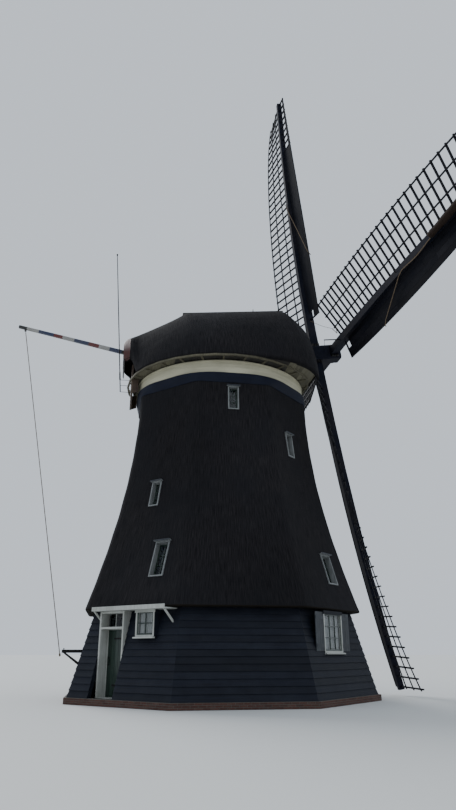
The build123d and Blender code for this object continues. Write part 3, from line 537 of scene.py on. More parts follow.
# Openings in the boarded storey by side: left, right, bottom, top
wallOpenings = {
    1: [(-0.85, 0.35, 1.375, 2.59)],
    7: [(-0.35, 0.85, 1.375, 2.59)],
    3: [(-1.15, -0.15, 0.0, 2.59), (0.32, 1.04, 1.805, 2.59)],
    5: [(-1.04, -0.32, 1.805, 2.59)],
}

# Lapped boards
lapValues = {"pitch": 0.19, "footProud": 0.026, "headProud": 0.004, "sunk": 0.004, "bottom": 0.185}


def boardEdge(left, right, height, proud):
    # four corners at one height; an end of None is mitred at the tower's corner
    corners = []
    outer, inner = wallDistance(height) + proud, wallDistance(height) - lapValues["sunk"]
    for distance, ends in ((outer, (0, 1)), (inner, (1, 0))):
        reach = distance * slant
        span = (-reach if left is None else left, reach if right is None else right)
        corners += [(span[end], -distance, height) for end in ends]
    return corners


def openSpans(openings, low, high):
    # the stretches of a board beside the openings that it meets
    spans = [(None, None)]
    for left, right, bottom, head in sorted(openings):
        if bottom < high - 1e-6 and head > low + 1e-6:
            start = spans.pop()
            spans += [(start[0], left), (right, None)]
    return spans


def lappedBoards(openings):
    # courses from the bottom up, each standing out at its foot over the one below
    corners, tones = [], []
    z = lapValues["bottom"]
    lean = (lapValues["headProud"] - lapValues["footProud"]) / lapValues["pitch"]
    while z < towerShape["eave"] - 0.01:
        top = min(z + lapValues["pitch"], towerShape["eave"] - 0.002)
        tone = dice.uniform(0.1, 0.9)
        breaks = sorted({z, top, *(edge for opening in openings for edge in opening[2:] if z < edge < top)})
        for low, high in zip(breaks, breaks[1:]):
            foot, head = [lapValues["footProud"] + lean * (height - z) for height in (low, high)]
            for left, right in openSpans(openings, low, high):
                corners.append(boardEdge(left, right, low, foot) + boardEdge(left, right, high, head))
                tones.append(tone)
        z += lapValues["pitch"]
    return np.array(corners), np.array(tones)


for side in range(8):
    corners, tones = lappedBoards(wallOpenings.get(side, []))
    name = f"lappedBoards{side + 1}"
    addBoxes(name, corners, "tarredBoardsSkySheen", "tower", 0, onSide(side), tones=tones)
for name in nodes:
    if name.startswith("wall_") or name == "plain_walls":
        dressNode(name, "wallBoardsSkySheen")

# Brick footing: courses of bricks in running bond, proud of the mortar
brickValues = {
    "length": 0.21, "height": 0.05, "depth": 0.08, "joint": 0.01, "least": 0.03,
    "reach": 4.95, "proud": 0.005, "foot": 0.004, "courses": 3,
}


def footingBricks():
    # every second course starts half a brick on
    v = brickValues
    corners = []
    step = v["length"] + v["joint"]
    outer = v["reach"] + v["proud"]
    half = outer * slant
    for course in range(v["courses"]):
        low = v["foot"] + course * (v["height"] + v["joint"])
        starts = np.arange(-half + (course % 2) * step / 2 - step, half, step)
        left = np.clip(starts, -half, None)
        right = np.clip(starts + v["length"], None, half)
        for a, b in zip(left, right):
            if b - a > v["least"]:
                corners.append(boxCorners((a, -outer, low), (b, v["depth"] - outer, low + v["height"])))
    return np.array(corners)


bricks = np.concatenate([toSide(footingBricks(), side) for side in range(8)])
addBoxes("footingBricks", bricks, "brickFace", "tower", bevel=0.003)
dressNode("brick_footing", "mortar")
print("boards and bricks laid")

# Thatched body: one closed shell with softly rounded corners, and holes for the windows
thatchValues = {
    "columns": 384, "rows": 112, "innerRows": 48, "corner": 0.42, "lump": 0.012, "eaveRound": 0.06,
}
topShares = (0.05, 0.35, 0.65, 0.95)

# Windows in the thatch: side, offset, height of the middle, width and length up the slope
slopeWindows = [
    (2, 0.0, 9.620, 0.380, 0.860),
    (1, -0.250, 8.200, 0.420, 0.860),
    (1, 0.480, 3.960, 0.620, 1.000),
    (3, 0.0, 6.300, 0.400, 0.860),
    (3, 0.760, 4.090, 0.560, 1.120),
]
slopeWindows += [((8 - side) % 8, -offset, *sizes) for side, offset, *sizes in slopeWindows]


def octagonReach(flat, angle, corner):
    # flat sides joined by arcs: the arc's centre lies on the corner's line, at (flat - corner) / cos
    local = (angle + halfEighth) % eighth - halfEighth
    away = halfEighth - np.abs(local)
    middle = (flat - corner) / math.cos(halfEighth)
    start = np.arctan2(middle * math.sin(halfEighth), flat)
    arc = middle * np.cos(away) + np.sqrt(np.maximum(corner**2 - (middle * np.sin(away)) ** 2, 0))
    return np.where(np.abs(local) < start, flat / np.cos(local), arc)


def slopeFrame(height):
    # origin on the slope, the direction up it and its outward normal
    step = 0.001
    fall = (flatDistance(height + step) - flatDistance(height - step)) / (2 * step)
    normal = np.array([0, -1, -fall]) / math.hypot(1, fall)
    up = np.array([0, normal[2], -normal[1]])
    return np.array([0, -flatDistance(height), height]), up, normal


def lumps(angle, along, size, seed):
    # sum of sines, whole numbers round the tower so that it closes on itself
    waves = np.random.default_rng(seed)
    total = np.zeros(np.broadcast(angle, along).shape)
    for count in (5, 9, 14, 23, 31, 47):
        wave = np.sin(count * angle + waves.uniform(0.6, 7) * along + waves.uniform(0, 6.3))
        total = total + wave / (1 + count / 16)
    return total * size / 2.4


def thatchProfile():
    # insets and heights: up the outside, over the top, down the inside and round the eave
    low, high, thick = towerShape["eave"], towerShape["waist"], towerShape["thickness"]
    soft = thatchValues["eaveRound"]
    outer = low + soft + (high - 0.004 - low - soft) * np.linspace(0, 1, thatchValues["rows"])
    inner = np.linspace(high - 0.004, low + 0.03, thatchValues["innerRows"])
    profile = [(0.0, z) for z in outer]
    profile += [(share * thick, high) for share in topShares]
    profile += [(thick, z) for z in inner]
    profile += [(thick - 0.03, low + 0.004), (thick * 0.6, low + 0.002), (thick * 0.3, low + 0.004)]
    profile += [(soft * 0.9, low + 0.006), (soft * 0.35, low + soft * 0.35), (0.004, low + soft * 0.75)]
    return np.array(profile).T


def cutWindow(points, faces, keep, side, offset, height, width, tall):
    # faces with their middle in the opening go, and the points left round it move on to its edges
    origin, up, normal = slopeFrame(height)
    local = toSide(points, -side)
    across = local[:, 0] - offset
    slope = (local - origin) @ up
    depth = (local - origin) @ normal
    near = (local[:, 1] < 0) & (np.abs(depth) < 1.2)
    inside = near & (np.abs(across) < width / 2) & (np.abs(slope) < tall / 2)
    middle = [values[faces].mean(1) for values in (across, slope)]
    gone = near[faces].all(1) & (np.abs(middle[0]) < width / 2) & (np.abs(middle[1]) < tall / 2)
    edge = np.intersect1d(np.unique(faces[gone & keep]), np.unique(faces[keep & ~gone]))
    a, s = across[edge], slope[edge]
    outX, outS = np.clip(a, -width / 2, width / 2), np.clip(s, -tall / 2, tall / 2)
    within = inside[edge]
    sideways = within & (width / 2 - np.abs(a) < tall / 2 - np.abs(s))
    upwards = within & ~sideways
    outX = np.where(sideways, np.sign(a) * width / 2, outX)
    outS = np.where(upwards, np.sign(s) * tall / 2, outS)
    moved = origin + np.outer(outX + offset, [1, 0, 0]) + np.outer(outS, up) + np.outer(depth[edge], normal)
    points[edge] = toSide(moved, side)
    return keep & ~gone


def thatchBody():
    # the profile round an octagon with rounded corners, plus shallow lumps on the outside
    low, high = towerShape["eave"], towerShape["waist"]
    inset, z = thatchProfile()[:, :, None]
    angle = np.linspace(0, 2 * np.pi, thatchValues["columns"], endpoint=False)[None, :]
    reach = octagonReach(flatDistance(z) - inset, angle, thatchValues["corner"])
    fade = np.clip((high - z) / 0.25, 0, 1) * np.clip((z - low + 0.1) / 0.3, 0.3, 1)
    bulge = lumps(angle, z, thatchValues["lump"], 3) * fade - thatchValues["lump"] * 0.3 * fade
    reach = reach + np.where(inset < 0.5 * towerShape["thickness"], bulge, 0)
    points = stacked(reach.shape, -reach * np.sin(angle), -reach * np.cos(angle), z).reshape(-1, 3)
    grain = stacked(reach.shape, z * 1.02, angle * 3.9, inset).reshape(-1, 3)
    faces = gridFaces(*reach.shape, closeRows=True, closeColumns=True)
    keep = np.ones(len(faces), bool)
    for window in slopeWindows:
        keep = cutWindow(points, faces, keep, *window)
    used, fresh = np.unique(faces[keep], return_inverse=True)
    return points[used], fresh.reshape(-1, 4), grain[used], used // reach.shape[1]


def showCutReed(piece, cut):
    # the faces in cut show the reed's cut ends
    piece.data.materials.append(materials["thatchCut"])
    piece.data.polygons.foreach_set("material_index", np.asarray(cut, np.int32))


points, faces, grain, rowOf = thatchBody()
tone = 0.5 + 0.25 * np.sin(grain[:, 1] * 0.9) * np.sin(grain[:, 0] * 0.6)
body = addPiece("thatchBody", points, faces, "thatchReed", "tower", grain, tone, smooth=True)
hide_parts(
    "thatch_front_and_rear", "thatch_left_and_right", "thatch_front_corners", "thatch_rear_corners"
)
eaveRow = thatchValues["rows"] + len(topShares) + thatchValues["innerRows"]
showCutReed(body, rowOf[faces].min(1) >= eaveRow)
print("thatch laid")

# Cap: the same sections as the CAD source, in metres
capShape = {
    "rim": 3.660, "front": -3.420, "frontHalf": 2.200, "frontSag": 0.100, "back": 3.830, "backHalf": 0.850,
    "backRise": 0.780, "backRun": 0.560, "riseRun": 0.300, "corner": 0.200, "tuck": 0.400,
    "ridgeFront": -2.600, "ridgeFrontHeight": 14.800, "ridgeBack": 1.500, "ridgeBackHeight": 14.330,
    "backHeight": 12.950, "frontDrop": 0.690, "rimHeight": 11.060, "crown": 0.130, "gableFront": -3.250,
    "squareness": 2.6,
}


def capHalfWidth(y):
    # a circle beside the middle, a squarer oval ahead of it and a straight run in to the rear gable
    c = capShape
    start = c["back"] - c["backRun"]
    begin = math.sqrt(c["rim"] ** 2 - start**2)
    tail = begin + (c["backHalf"] - begin) * (y - start) / c["backRun"]
    rounded = np.sqrt(np.maximum(c["rim"] ** 2 - y**2, 0))
    power = c["squareness"]
    base = c["rim"] * (1 - abs(c["front"] / c["rim"]) ** power) ** (1 / power)
    full = c["rim"] * (1 - np.minimum(np.abs(y / c["rim"]), 1) ** power) ** (1 / power)
    ahead = full + (c["frontHalf"] - base) * (y / c["front"]) ** 2
    return np.where(y > start, tail, np.where(y > 0, rounded, ahead))


def backRounding(y):
    # a quarter round at the rear end: corner - sqrt(corner ** 2 - over ** 2)
    corner = capShape["corner"]
    over = np.clip(y - (capShape["back"] + 0.02 - corner), 0, corner)
    return corner - np.sqrt(corner**2 - over**2)


def capBottom(y):
    # the rim, plus a smooth step up at the rear, less a sag that grows to the front with y ** 4
    start = capShape["back"] - capShape["backRun"]
    share = np.clip((y - start) / capShape["riseRun"], 0, 1)
    rise = capShape["backRise"] * share**2 * (3 - 2 * share) + backRounding(y)
    sag = capShape["frontSag"] * np.clip(y / capShape["front"], 0, 1) ** 4
    return capShape["rimHeight"] + rise - sag


def capTop(y):
    # a straight fall ahead of the ridge, the ridge's own slope, and a curve down behind it
    c = capShape
    ahead = c["ridgeFrontHeight"] - c["frontDrop"] * (c["ridgeFront"] - y) / (c["ridgeFront"] - c["front"])
    fall = (c["ridgeFrontHeight"] - c["ridgeBackHeight"]) / (c["ridgeBack"] - c["ridgeFront"])
    middle = c["ridgeFrontHeight"] - fall * (y - c["ridgeFront"])
    share = np.clip((y - c["ridgeBack"]) / (c["back"] - c["ridgeBack"]), 0, 1)
    behind = c["ridgeBackHeight"] - (c["ridgeBackHeight"] - c["backHeight"]) * share**0.86
    height = np.where(y < c["ridgeFront"], ahead, np.where(y < c["ridgeBack"], middle, behind))
    return height - backRounding(y)


def capPoint(y, share, inset):
    # across = crown + (half - crown) * (1 - share ** 1.5) ** 0.8, drawn in below at the rear end
    bottom, top = capBottom(y), capTop(y) - inset
    half = capHalfWidth(y) - inset
    across = capShape["crown"] + (half - capShape["crown"]) * (1 - share**1.5) ** 0.8
    tail = np.clip((y - capShape["back"] + capShape["backRun"]) / capShape["backRun"], 0, 1)
    across = across * (1 - capShape["tuck"] * tail * np.clip(1 - share / 0.4, 0, 1) ** 2)
    return across, bottom + (top - bottom) * share


capValues = {"places": 96, "rows": 34, "thickness": 0.25, "lump": 0.014, "eaveRound": 0.05}


def capShell(y, outerInset, innerInset, lump):
    # a vault between two insets of the cap's section, with a rounded eave on both sides
    share = 1 - (1 - np.linspace(0, 1, capValues["rows"])) ** 1.25
    layers = []
    for inset in (outerInset, innerInset):
        across, height = capPoint(y[:, None], share[None, :], inset)
        if inset == outerInset:
            fade = np.sin(np.pi * np.clip(share, 0, 1))[None, :] ** 0.5
            swell = lumps(share[None, :] * 2.0, y[:, None] * 1.3, lump, 5) * fade
            across = across + swell - lump * 0.4 * fade
            height = height.copy()
            height[:, 0] += capValues["eaveRound"]
        right = stacked(across.shape, across, y[:, None], height)
        left = stacked(across.shape, -across, y[:, None], height)[:, ::-1]
        layers.append(np.concatenate([right, left], 1))
    outer, inner = layers
    rounding = ((0.995, 0.8), (0.975, 1.0))
    softLeft, softRight = [
        [outer[:, end] * [narrow, 1, 1] - [0, 0, capValues["eaveRound"] * drop] for narrow, drop in rounding]
        for end in (-1, 0)
    ]
    loop = np.concatenate([outer, np.stack(softLeft, 1), inner[:, ::-1], np.stack(softRight[::-1], 1)], 1)
    rows, columns = loop.shape[:2]
    faces = gridFaces(rows, columns, closeColumns=True)[:, ::-1]
    count = outer.shape[1]
    k = np.arange(count - 1)
    mate = 2 * count + 1 - k
    front = np.stack([k, k + 1, mate - 1, mate], -1)
    rear = front[:, ::-1] + (rows - 1) * columns
    run = np.abs(np.linspace(-1, 1, columns))[None, :] * 0.02
    grain = stacked((rows, columns), loop[..., 2], y[:, None], run)
    cut = np.concatenate([np.zeros(len(faces)), np.ones(2 * len(k))])
    return loop.reshape(-1, 3), np.concatenate([faces, front, rear]), grain.reshape(-1, 3), cut


# Sections lie closest at both ends, where the cap is rounded
ends = 0.5 - 0.5 * np.cos(np.pi * np.linspace(0, 1, capValues["places"]))
sections = capShape["front"] + (capShape["back"] - capShape["front"]) * ends
points, faces, grain, cut = capShell(sections, 0.0, capValues["thickness"], capValues["lump"])
tone = 0.5 + 0.22 * np.sin(grain[:, 1] * 1.7) * np.sin(grain[:, 0] * 1.1)
capThatch = addPiece("capThatch", points, faces, "thatchReed", "cap", grain, tone, smooth=True)
showCutReed(capThatch, cut)
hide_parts("cap_thatch_left", "cap_thatch_right")

# Red rim board round the rear end
rimValues = {"start": 3.600, "end": 3.846, "sections": 16, "proud": 0.012, "depth": 0.050}
sections = np.linspace(rimValues["start"], rimValues["end"], rimValues["sections"])
points, faces, grain, cut = capShell(sections, -rimValues["proud"], rimValues["depth"], 0.0)
addPiece("rearRim", points, faces, "redBoards", "cap", grain, smooth=True)
print("cap laid")

# Boards that fill a gable under the thatch, cut to its arch; a hole is its left, right, bottom and top
gableValues = {
    "width": 0.16, "proud": 0.014, "gap": 0.008, "inset": 0.245, "least": 0.03,
    "leverHole": (-0.075, 0.075, 12.29, 12.63), "shaftHole": (-0.36, 0.36, 12.35, 13.30),
}


def gableBoards(name, y, proud, material, hole):
    # upright planks across the gable; a plank's top runs between the arch's heights at its two edges
    low = float(capBottom(np.array(y)))
    across, height = capPoint(np.full(60, y), np.linspace(0, 1, 60), gableValues["inset"])
    half = float(across[0])
    edges = np.linspace(-half, half, max(2, round(2 * half / gableValues["width"])) + 1)
    near, far = sorted((y, y + proud))
    left, right, bottom, head = hole
    corners = []
    gap = gableValues["gap"] / 2
    for a, b in zip(edges + gap, edges[1:] - gap):
        tops = [float(np.interp(-abs(x), -across, height)) for x in (a, b)]
        spans = [(low, tops)]
        if a < right and b > left:
            spans = [(low, (bottom, bottom)), (head, tops)]
        for base, top in spans:
            if min(top) - base >= gableValues["least"]:
                corners.append(slopedBox((a, near, base), (b, far, base), tops=top))
    return addBoxes(name, np.array(corners), material, "cap", 2)


proud = gableValues["proud"]
gableBoards("rearGableBoards", capShape["back"], proud, "redBoards", gableValues["leverHole"])
frontHole = gableValues["shaftHole"]
gableBoards("frontGableBoards", capShape["gableFront"], -proud, "darkBoards", frontHole)

cadLooks = {
    "shadedCream": ("soffit",),
    "whitePaint": ("doorcase", "ground_window_frames", "canopy"),
    # the thatch windows' white frames in painted shade
    "shadedWhitePaint": ("thatch_window_frames",),
    "oldGlassInShade": ("thatch_window_glass",),
    "clearGlass": ("ground_window_glass",),
    "greenDoor": ("door",),
    "blackIron": ("rope_bracket",),
    "oakBeams": ("cap_ring", "cap_sheers", "breast_beam", "tail_beam", "lever_trestle", "windshaft"),
    "floorPlanks": ("ground_floor", "upper_floors"),
    "dressedStone": ("neck_bearing",),
    "darkTimber": ("ridge_board", "front_gable", "rear_gable"),
    "latticeTimber": ("sail_lattice_1", "sail_lattice_2", "sail_lattice_3", "sail_lattice_4"),
    "stockPaint": ("inner_stock", "outer_stock", "poll_end"),
}
for look, names in cadLooks.items():
    for name in names:
        dressNode(name, look)


# Windows, in frames of their own with x across, z up and y outwards to the negative
def barGrid(width, tall, columns, rows, bar, back, front):
    # upright and level bars between the panes, the level ones a little thinner
    corners = []
    for n in range(1, columns):
        x = -width / 2 + width * n / columns
        corners.append(boxCorners((x - bar / 2, front, -tall / 2), (x + bar / 2, back, tall / 2)))
    for n in range(1, rows):
        z = -tall / 2 + tall * n / rows
        low, high = (-width / 2, front + 0.002, z - bar / 2), (width / 2, back - 0.002, z + bar / 2)
        corners.append(boxCorners(low, high))
    return corners


def rimBoxes(width, tall, board, back, front):
    # two stiles as long as the rim is tall, and two rails between them
    w, t = width / 2, tall / 2
    return [
        boxCorners((-w, front, -t), (-w + board, back, t)),
        boxCorners((w - board, front, -t), (w, back, t)),
        boxCorners((-w + board, front, t - board), (w - board, back, t)),
        boxCorners((-w + board, front, -t), (w - board, back, -t + board)),
    ]


windowValues = {
    "head": 2.590, "casing": 0.050, "rail": 0.045, "bar": 0.030, "sashFace": 0.004, "sashPlane": 4.510,
    "casingPlane": 4.540, "overhang": 0.030, "cheek": 0.012, "cheekDepth": 0.400,
}
curtainValues = {
    "plane": 4.425, "side": 0.085, "edge": 0.075, "pleat": 0.105, "depth": 0.016, "across": 220, "down": 14,
    "thickness": 0.0012,
}

# Ground windows by side: offset, width, height, columns and rows of panes
wallWindows = {
    1: (-0.25, 1.2, 1.17, 3, 3),
    7: (0.25, 1.2, 1.17, 3, 3),
    3: (0.68, 0.72, 0.74, 2, 2),
    5: (-0.68, 0.72, 0.74, 2, 2),
}


def groundSash(side, offset, middle, width, tall, columns, rows):
    # a rim round a grid of bars
    v = windowValues
    w, t = width - 2 * v["casing"], tall - 2 * v["casing"]
    sash = rimBoxes(w, t, v["rail"], 0.002, -v["sashFace"])
    sash += barGrid(w - 2 * v["rail"], t - 2 * v["rail"], columns, rows, v["bar"], 0.028, -0.002)
    place = onSide(side, offset, -v["sashPlane"], middle)
    addBoxes(f"groundSash{side}", np.array(sash), "greenSash", "tower", 2, place, 0.002)


def groundTrim(side, offset, middle, width, tall):
    # a sill, two cheeks and a head, which is painted on the narrow windows and tarred on the wide ones
    v = windowValues
    w, t = width / 2 + v["overhang"], tall / 2
    trim = [boxCorners((-w, -0.075, -t - 0.045), (w, -0.002, -t - 0.01))]
    head = boxCorners((-w, -0.02, t - 0.075), (w, 0.01, t + v["overhang"]))
    ends = (-width / 2, width / 2 + v["cheek"])
    cheeks = [boxCorners((x - v["cheek"], 0.006, -t), (x, v["cheekDepth"], t)) for x in ends]
    (trim if width < 1 else cheeks).append(head)
    trim, cheeks = np.array(trim), np.array(cheeks)
    place = onSide(side, offset, -v["casingPlane"], middle)
    addBoxes(f"groundTrim{side}", trim, "whiteTrim", "tower", 0, place, 0.003)
    addBoxes(f"groundCheeks{side}", cheeks, "tarredBoardsSkySheen", "tower", 2, place, 0.002)


def netCurtain(side, offset, middle, width, tall):
    # pleats are a sine whose pace varies a little across the cloth, shallower towards the top
    v = curtainValues
    half, drop = width / 2 - v["side"], tall / 2 - v["edge"]
    x = np.linspace(-half, half, v["across"])[None, :]
    z = np.linspace(-drop, drop, v["down"])[:, None]
    fold = v["depth"] * np.sin(2 * np.pi * x / v["pleat"] + 0.8 * np.sin(3.1 * x))
    depth = fold * np.linspace(1.15, 0.8, v["down"])[:, None]
    cloth = stacked(depth.shape, x, depth - v["plane"], z).reshape(-1, 3)
    points = onSide(side, offset, 0, middle)(cloth)
    name, faces = f"netCurtain{side}", gridFaces(v["down"], v["across"])
    curtain = addPiece(name, points, faces, "netCurtain", "tower", cloth, smooth=True)
    thick = curtain.modifiers.new("cloth", "SOLIDIFY")
    thick.thickness = v["thickness"]


for side, (offset, width, tall, columns, rows) in wallWindows.items():
    middle = windowValues["head"] - tall / 2
    groundSash(side, offset, middle, width, tall, columns, rows)
    groundTrim(side, offset, middle, width, tall)
    netCurtain(side, offset, middle, width, tall)

# Top light over the entrance
topLightValues = {
    "width": 0.880, "height": 0.386, "panes": 3, "bar": 0.024, "back": 0.020, "front": -0.012,
    "offset": -0.650, "plane": 4.200, "middle": 2.336,
}
v = topLightValues
lightBars = np.array(barGrid(v["width"], v["height"], v["panes"], 1, v["bar"], v["back"], v["front"]))
place = onSide(3, v["offset"], -v["plane"], v["middle"])
addBoxes("doorLightBars", lightBars, "whiteTrim", "tower", 2, place, 0.002)

# Door boards, strap hinges and lock plate
doorValues = {
    "boards": 6, "gap": 0.006, "proud": 0.007, "left": -1.084, "right": -0.216, "low": 0.198, "high": 2.078,
    "face": -4.195, "straps": (0.52, 1.82), "strap": 0.62, "strapHalf": 0.025,
    "lock": (-1.07, -0.98, 1.06, 1.30),
}


def doorBoards():
    # upright planks, all of one width
    v = doorValues
    edges = np.linspace(v["left"], v["right"], v["boards"] + 1)
    near, far, gap = v["face"] - v["proud"], v["face"] + 0.002, v["gap"] / 2
    spans = zip(edges + gap, edges[1:] - gap)
    return np.array([boxCorners((a, near, v["low"] + 0.004), (b, far, v["high"] - 0.004)) for a, b in spans])


def doorIron():
    # two straps from the hinge edge inwards, and the lock's plate
    v = doorValues
    face, half = v["face"], v["strapHalf"]
    left, right = v["right"] - v["strap"], v["right"] - 0.01
    iron = [boxCorners((left, face - 0.013, z - half), (right, face - 0.006, z + half)) for z in v["straps"]]
    left, right, low, high = v["lock"]
    iron.append(boxCorners((left, face - 0.010, low), (right, face - 0.006, high)))
    return np.array(iron)


addBoxes("doorBoards", doorBoards(), "greenSash", "entrance_door", 2, onSide(3), 0.002)
addBoxes("doorStraps", doorIron(), "blackIron", "entrance_door", 0, onSide(3), 0.002)

# Shutters of upright planks on ledges
shutterValues = {
    "planks": 4, "gap": 0.005, "low": 1.46, "high": 2.57, "inner": 0.6, "outer": 1.1,
    "front": -4.531, "back": -4.508, "ledgeFront": -4.541, "ledgeBack": -4.530, "ledge": 0.1,
    "ledgeFromEnd": 0.16, "ledgeInset": 0.02,
}


def shutterLeaf(left, right):
    # upright planks, all of one width, on two level ledges
    v = shutterValues
    edges = np.linspace(left, right, v["planks"] + 1)
    gap, half = v["gap"] / 2, v["ledge"] / 2
    low, high = v["low"], v["high"]
    spans = zip(edges + gap, edges[1:] - gap)
    leaf = [boxCorners((a, v["front"], low), (b, v["back"], high)) for a, b in spans]
    left, right = left + v["ledgeInset"], right - v["ledgeInset"]
    for z in (low + v["ledgeFromEnd"], high - v["ledgeFromEnd"]):
        leaf.append(boxCorners((left, v["ledgeFront"], z - half), (right, v["ledgeBack"], z + half)))
    return leaf


for side, offset in ((1, -0.25), (7, 0.25)):
    inner, outer = shutterValues["inner"], shutterValues["outer"]
    leaves = shutterLeaf(offset - outer, offset - inner) + shutterLeaf(offset + inner, offset + outer)
    name = f"shutterPlanks{side}"
    made = addBoxes(name, np.array(leaves), "greyShutters", "tower", 2, onSide(side), 0.002)
    if side == 1:
        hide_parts("shutters")
print("doors and windows fitted")

# Windows in the thatch: sashes, and grey caps over the hoods
slopeValues = {"casing": 0.085, "rim": 0.040, "rail": 0.045, "bar": 0.022, "depth": 0.170, "hood": 0.045}


def onSlope(side, offset, height):
    # the move from a slope window's own frame to the mill's: across, outwards and up the slope
    origin, up, normal = slopeFrame(height)

    def place(points):
        flat = origin + np.outer(points[:, 0] + offset, [1, 0, 0]) + np.outer(points[:, 2], up)
        return toSide(flat + np.outer(-slopeValues["depth"] - points[:, 1], normal), side)

    return place


for number, (side, offset, height, width, tall) in enumerate(slopeWindows):
    v = slopeValues
    place = onSlope(side, offset, height)
    bars = barGrid(width - 2 * v["casing"], tall - 2 * v["casing"], 2, 3, v["bar"], 0.012, -0.028)
    rim = rimBoxes(width - 2 * v["rim"], tall - 2 * v["rim"], v["rail"], 0.0, -0.024)
    name = f"slopeSash{number + 1}"
    addBoxes(name, np.array(bars + rim), "greenSash", "tower", 2, place, 0.002)
    half, top = width / 2 + v["hood"], tall / 2
    hood = [boxCorners((-half, -0.285, top + 0.024), (half, -0.16, top + 0.034))]
    hood.append(boxCorners((-half, -0.290, top - 0.012), (half, -0.281, top + 0.034)))
    addBoxes(f"slopeHood{number + 1}", np.array(hood), "leadSheet", "tower", 0, place, 0.002)


def addRing(name, rings, material):
    # rings: flat reach, corner radius and height, up the outside and down the inside
    flat, corner, z = np.array(rings)[:, :, None].transpose(1, 0, 2)
    angle = np.linspace(0, 2 * np.pi, 256, endpoint=False)[None, :]
    reach = octagonReach(flat, angle, corner)
    points = stacked(reach.shape, -reach * np.sin(angle), -reach * np.cos(angle), z)
    grain = stacked(reach.shape, angle * 3.2, z, reach * 0.2)
    faces = gridFaces(*reach.shape, closeRows=True, closeColumns=True)
    return addPiece(name, points, faces, material, "tower", grain, smooth=True, bevel=0.003)


# Round cream band with a shallow moulding, and the dark apron that covers the thatch's top
bandValues = {"reach": 3.215, "bore": 2.480, "low": 10.500, "high": 10.985}
reach, bore, low, high = bandValues["reach"], bandValues["bore"], bandValues["low"], bandValues["high"]
bandProfile = [
    (reach, low), (reach, high - 0.075), (reach - 0.006, high - 0.071), (reach - 0.006, high - 0.063),
    (reach + 0.014, high - 0.058), (reach + 0.014, high), (bore, high), (bore, low),
]
band = addRing("creamBand", [(r, r, z) for r, z in bandProfile], "creamPaint")
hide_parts("curb_ring")
apronRings = [
    (3.100, 0.50, 10.190), (3.106, 0.50, 10.205), (3.180, 1.50, 10.400), (3.226, 2.20, 10.500),
    (3.226, 2.20, 10.512), (3.190, 2.20, 10.512), (3.150, 1.50, 10.380), (3.070, 0.50, 10.190),
]
addRing("topApron", apronRings, "apronSheet")

# Soffit: planks across the overhang, all in painted shade, darker along the sides
soffitValues = {
    "width": 0.150, "gap": 0.004, "low": 11.040, "high": 11.054, "rear": 3.390, "inner": 2.940,
    "inset": 0.200, "lessShade": 2.000,
}


def soffitPlanks(lessShade):
    # beside the ring a plank is in two halves, and beyond it one runs right across
    v = soffitValues
    corners = []
    edges = np.arange(capShape["gableFront"] + 0.02, v["rear"], v["width"])
    for a, b in zip(edges, edges[1:]):
        if (abs(a + b) / 2 > v["lessShade"]) != lessShade:
            continue
        b = b - v["gap"]
        inner = np.array([math.sqrt(max(v["inner"] ** 2 - y**2, 0)) for y in (a, b)])
        outer = np.array([float(capHalfWidth(np.array(y))) - v["inset"] for y in (a, b)])
        halves = [(inner, outer), (-outer, -inner)] if inner.max() > 0 else [(-outer, outer)]
        for left, right in halves:
            outline = [(left[0], a), (right[0], a), (right[1], b), (left[1], b)]
            corners.append([(x, y, z) for z in (v["low"], v["high"]) for x, y in outline])
    return np.array(corners)


# the front and rear planks in painted shade, and the planks along the sides darker still
addBoxes("shadedSoffitBoards", soffitPlanks(True), "shadedSoffitBoards", "cap", 0)
addBoxes("soffitDarkBoards", soffitPlanks(False), "darkBoards", "cap", 0)

# Hanging box behind the tower's top: upright planks between two cheeks
hangingValues = {
    "planks": 9, "gap": 0.006, "half": 0.9, "low": 10.380, "high": 11.600, "curve": 0.050, "near": 3.220,
    "cheek": 0.030, "cheekRise": 0.070, "cheekHigh": 11.030,
}
boardLow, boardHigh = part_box("hanging_board")
boardNear, boardFar = boardLow.y, boardHigh.y


def hangingPlanks():
    # the planks' feet rise to the sides by curve * (x / half) ** 2, and a cheek closes each end
    v = hangingValues
    edges = np.linspace(-v["half"], v["half"], v["planks"] + 1)
    planks = []
    for a, b in zip(edges + v["gap"] / 2, edges[1:] - v["gap"] / 2):
        feet = [v["low"] + v["curve"] * (x / v["half"]) ** 2 for x in (a, b)]
        planks.append(slopedBox((a, boardNear, 0), (b, boardFar, v["high"]), feet))
    foot = v["low"] + v["curve"] + 0.02
    for x in (-v["half"], v["half"] - v["cheek"]):
        cheek = boxCorners((x, v["near"], foot), (x + v["cheek"], boardNear - 0.001, v["cheekHigh"]))
        cheek[[0, 1], 2] = foot + v["cheekRise"]
        planks.append(cheek)
    return np.array(planks)


hanging = addBoxes("hangingPlanks", hangingPlanks(), "hangingBoards", "cap", 2, bevel=0.004)
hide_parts("hanging_board")

# Lightning rod with its socket and three stays to the hanging box, and the spike on the ridge
rodValues = {
    "side": -0.330, "foot": (3.876, 10.690), "head": (4.350, 16.794), "stays": (10.690, 10.955, 11.180),
    "stay": 0.008, "spikePlace": -1.400, "spikeFoot": 0.085, "spikeRise": 0.190,
}
rodProfile = [
    (10.690, 0.018), (11.179, 0.018), (11.180, 0.028), (11.500, 0.028), (11.501, 0.020), (14.0, 0.019),
    (16.60, 0.015), (16.70, 0.015), (16.735, 0.032), (16.77, 0.032), (16.790, 0.014), (16.794, 0.003),
]
spikeProfile = [(0, 0.030), (0.3, 0.016), (0.7, 0.014), (1.0, 0.005)]


def rodPlace(height):
    # the rod leans back evenly from its foot to its head
    (y0, z0), (y1, z1) = rodValues["foot"], rodValues["head"]
    return np.array([rodValues["side"], y0 + (y1 - y0) * (height - z0) / (z1 - z0), height])


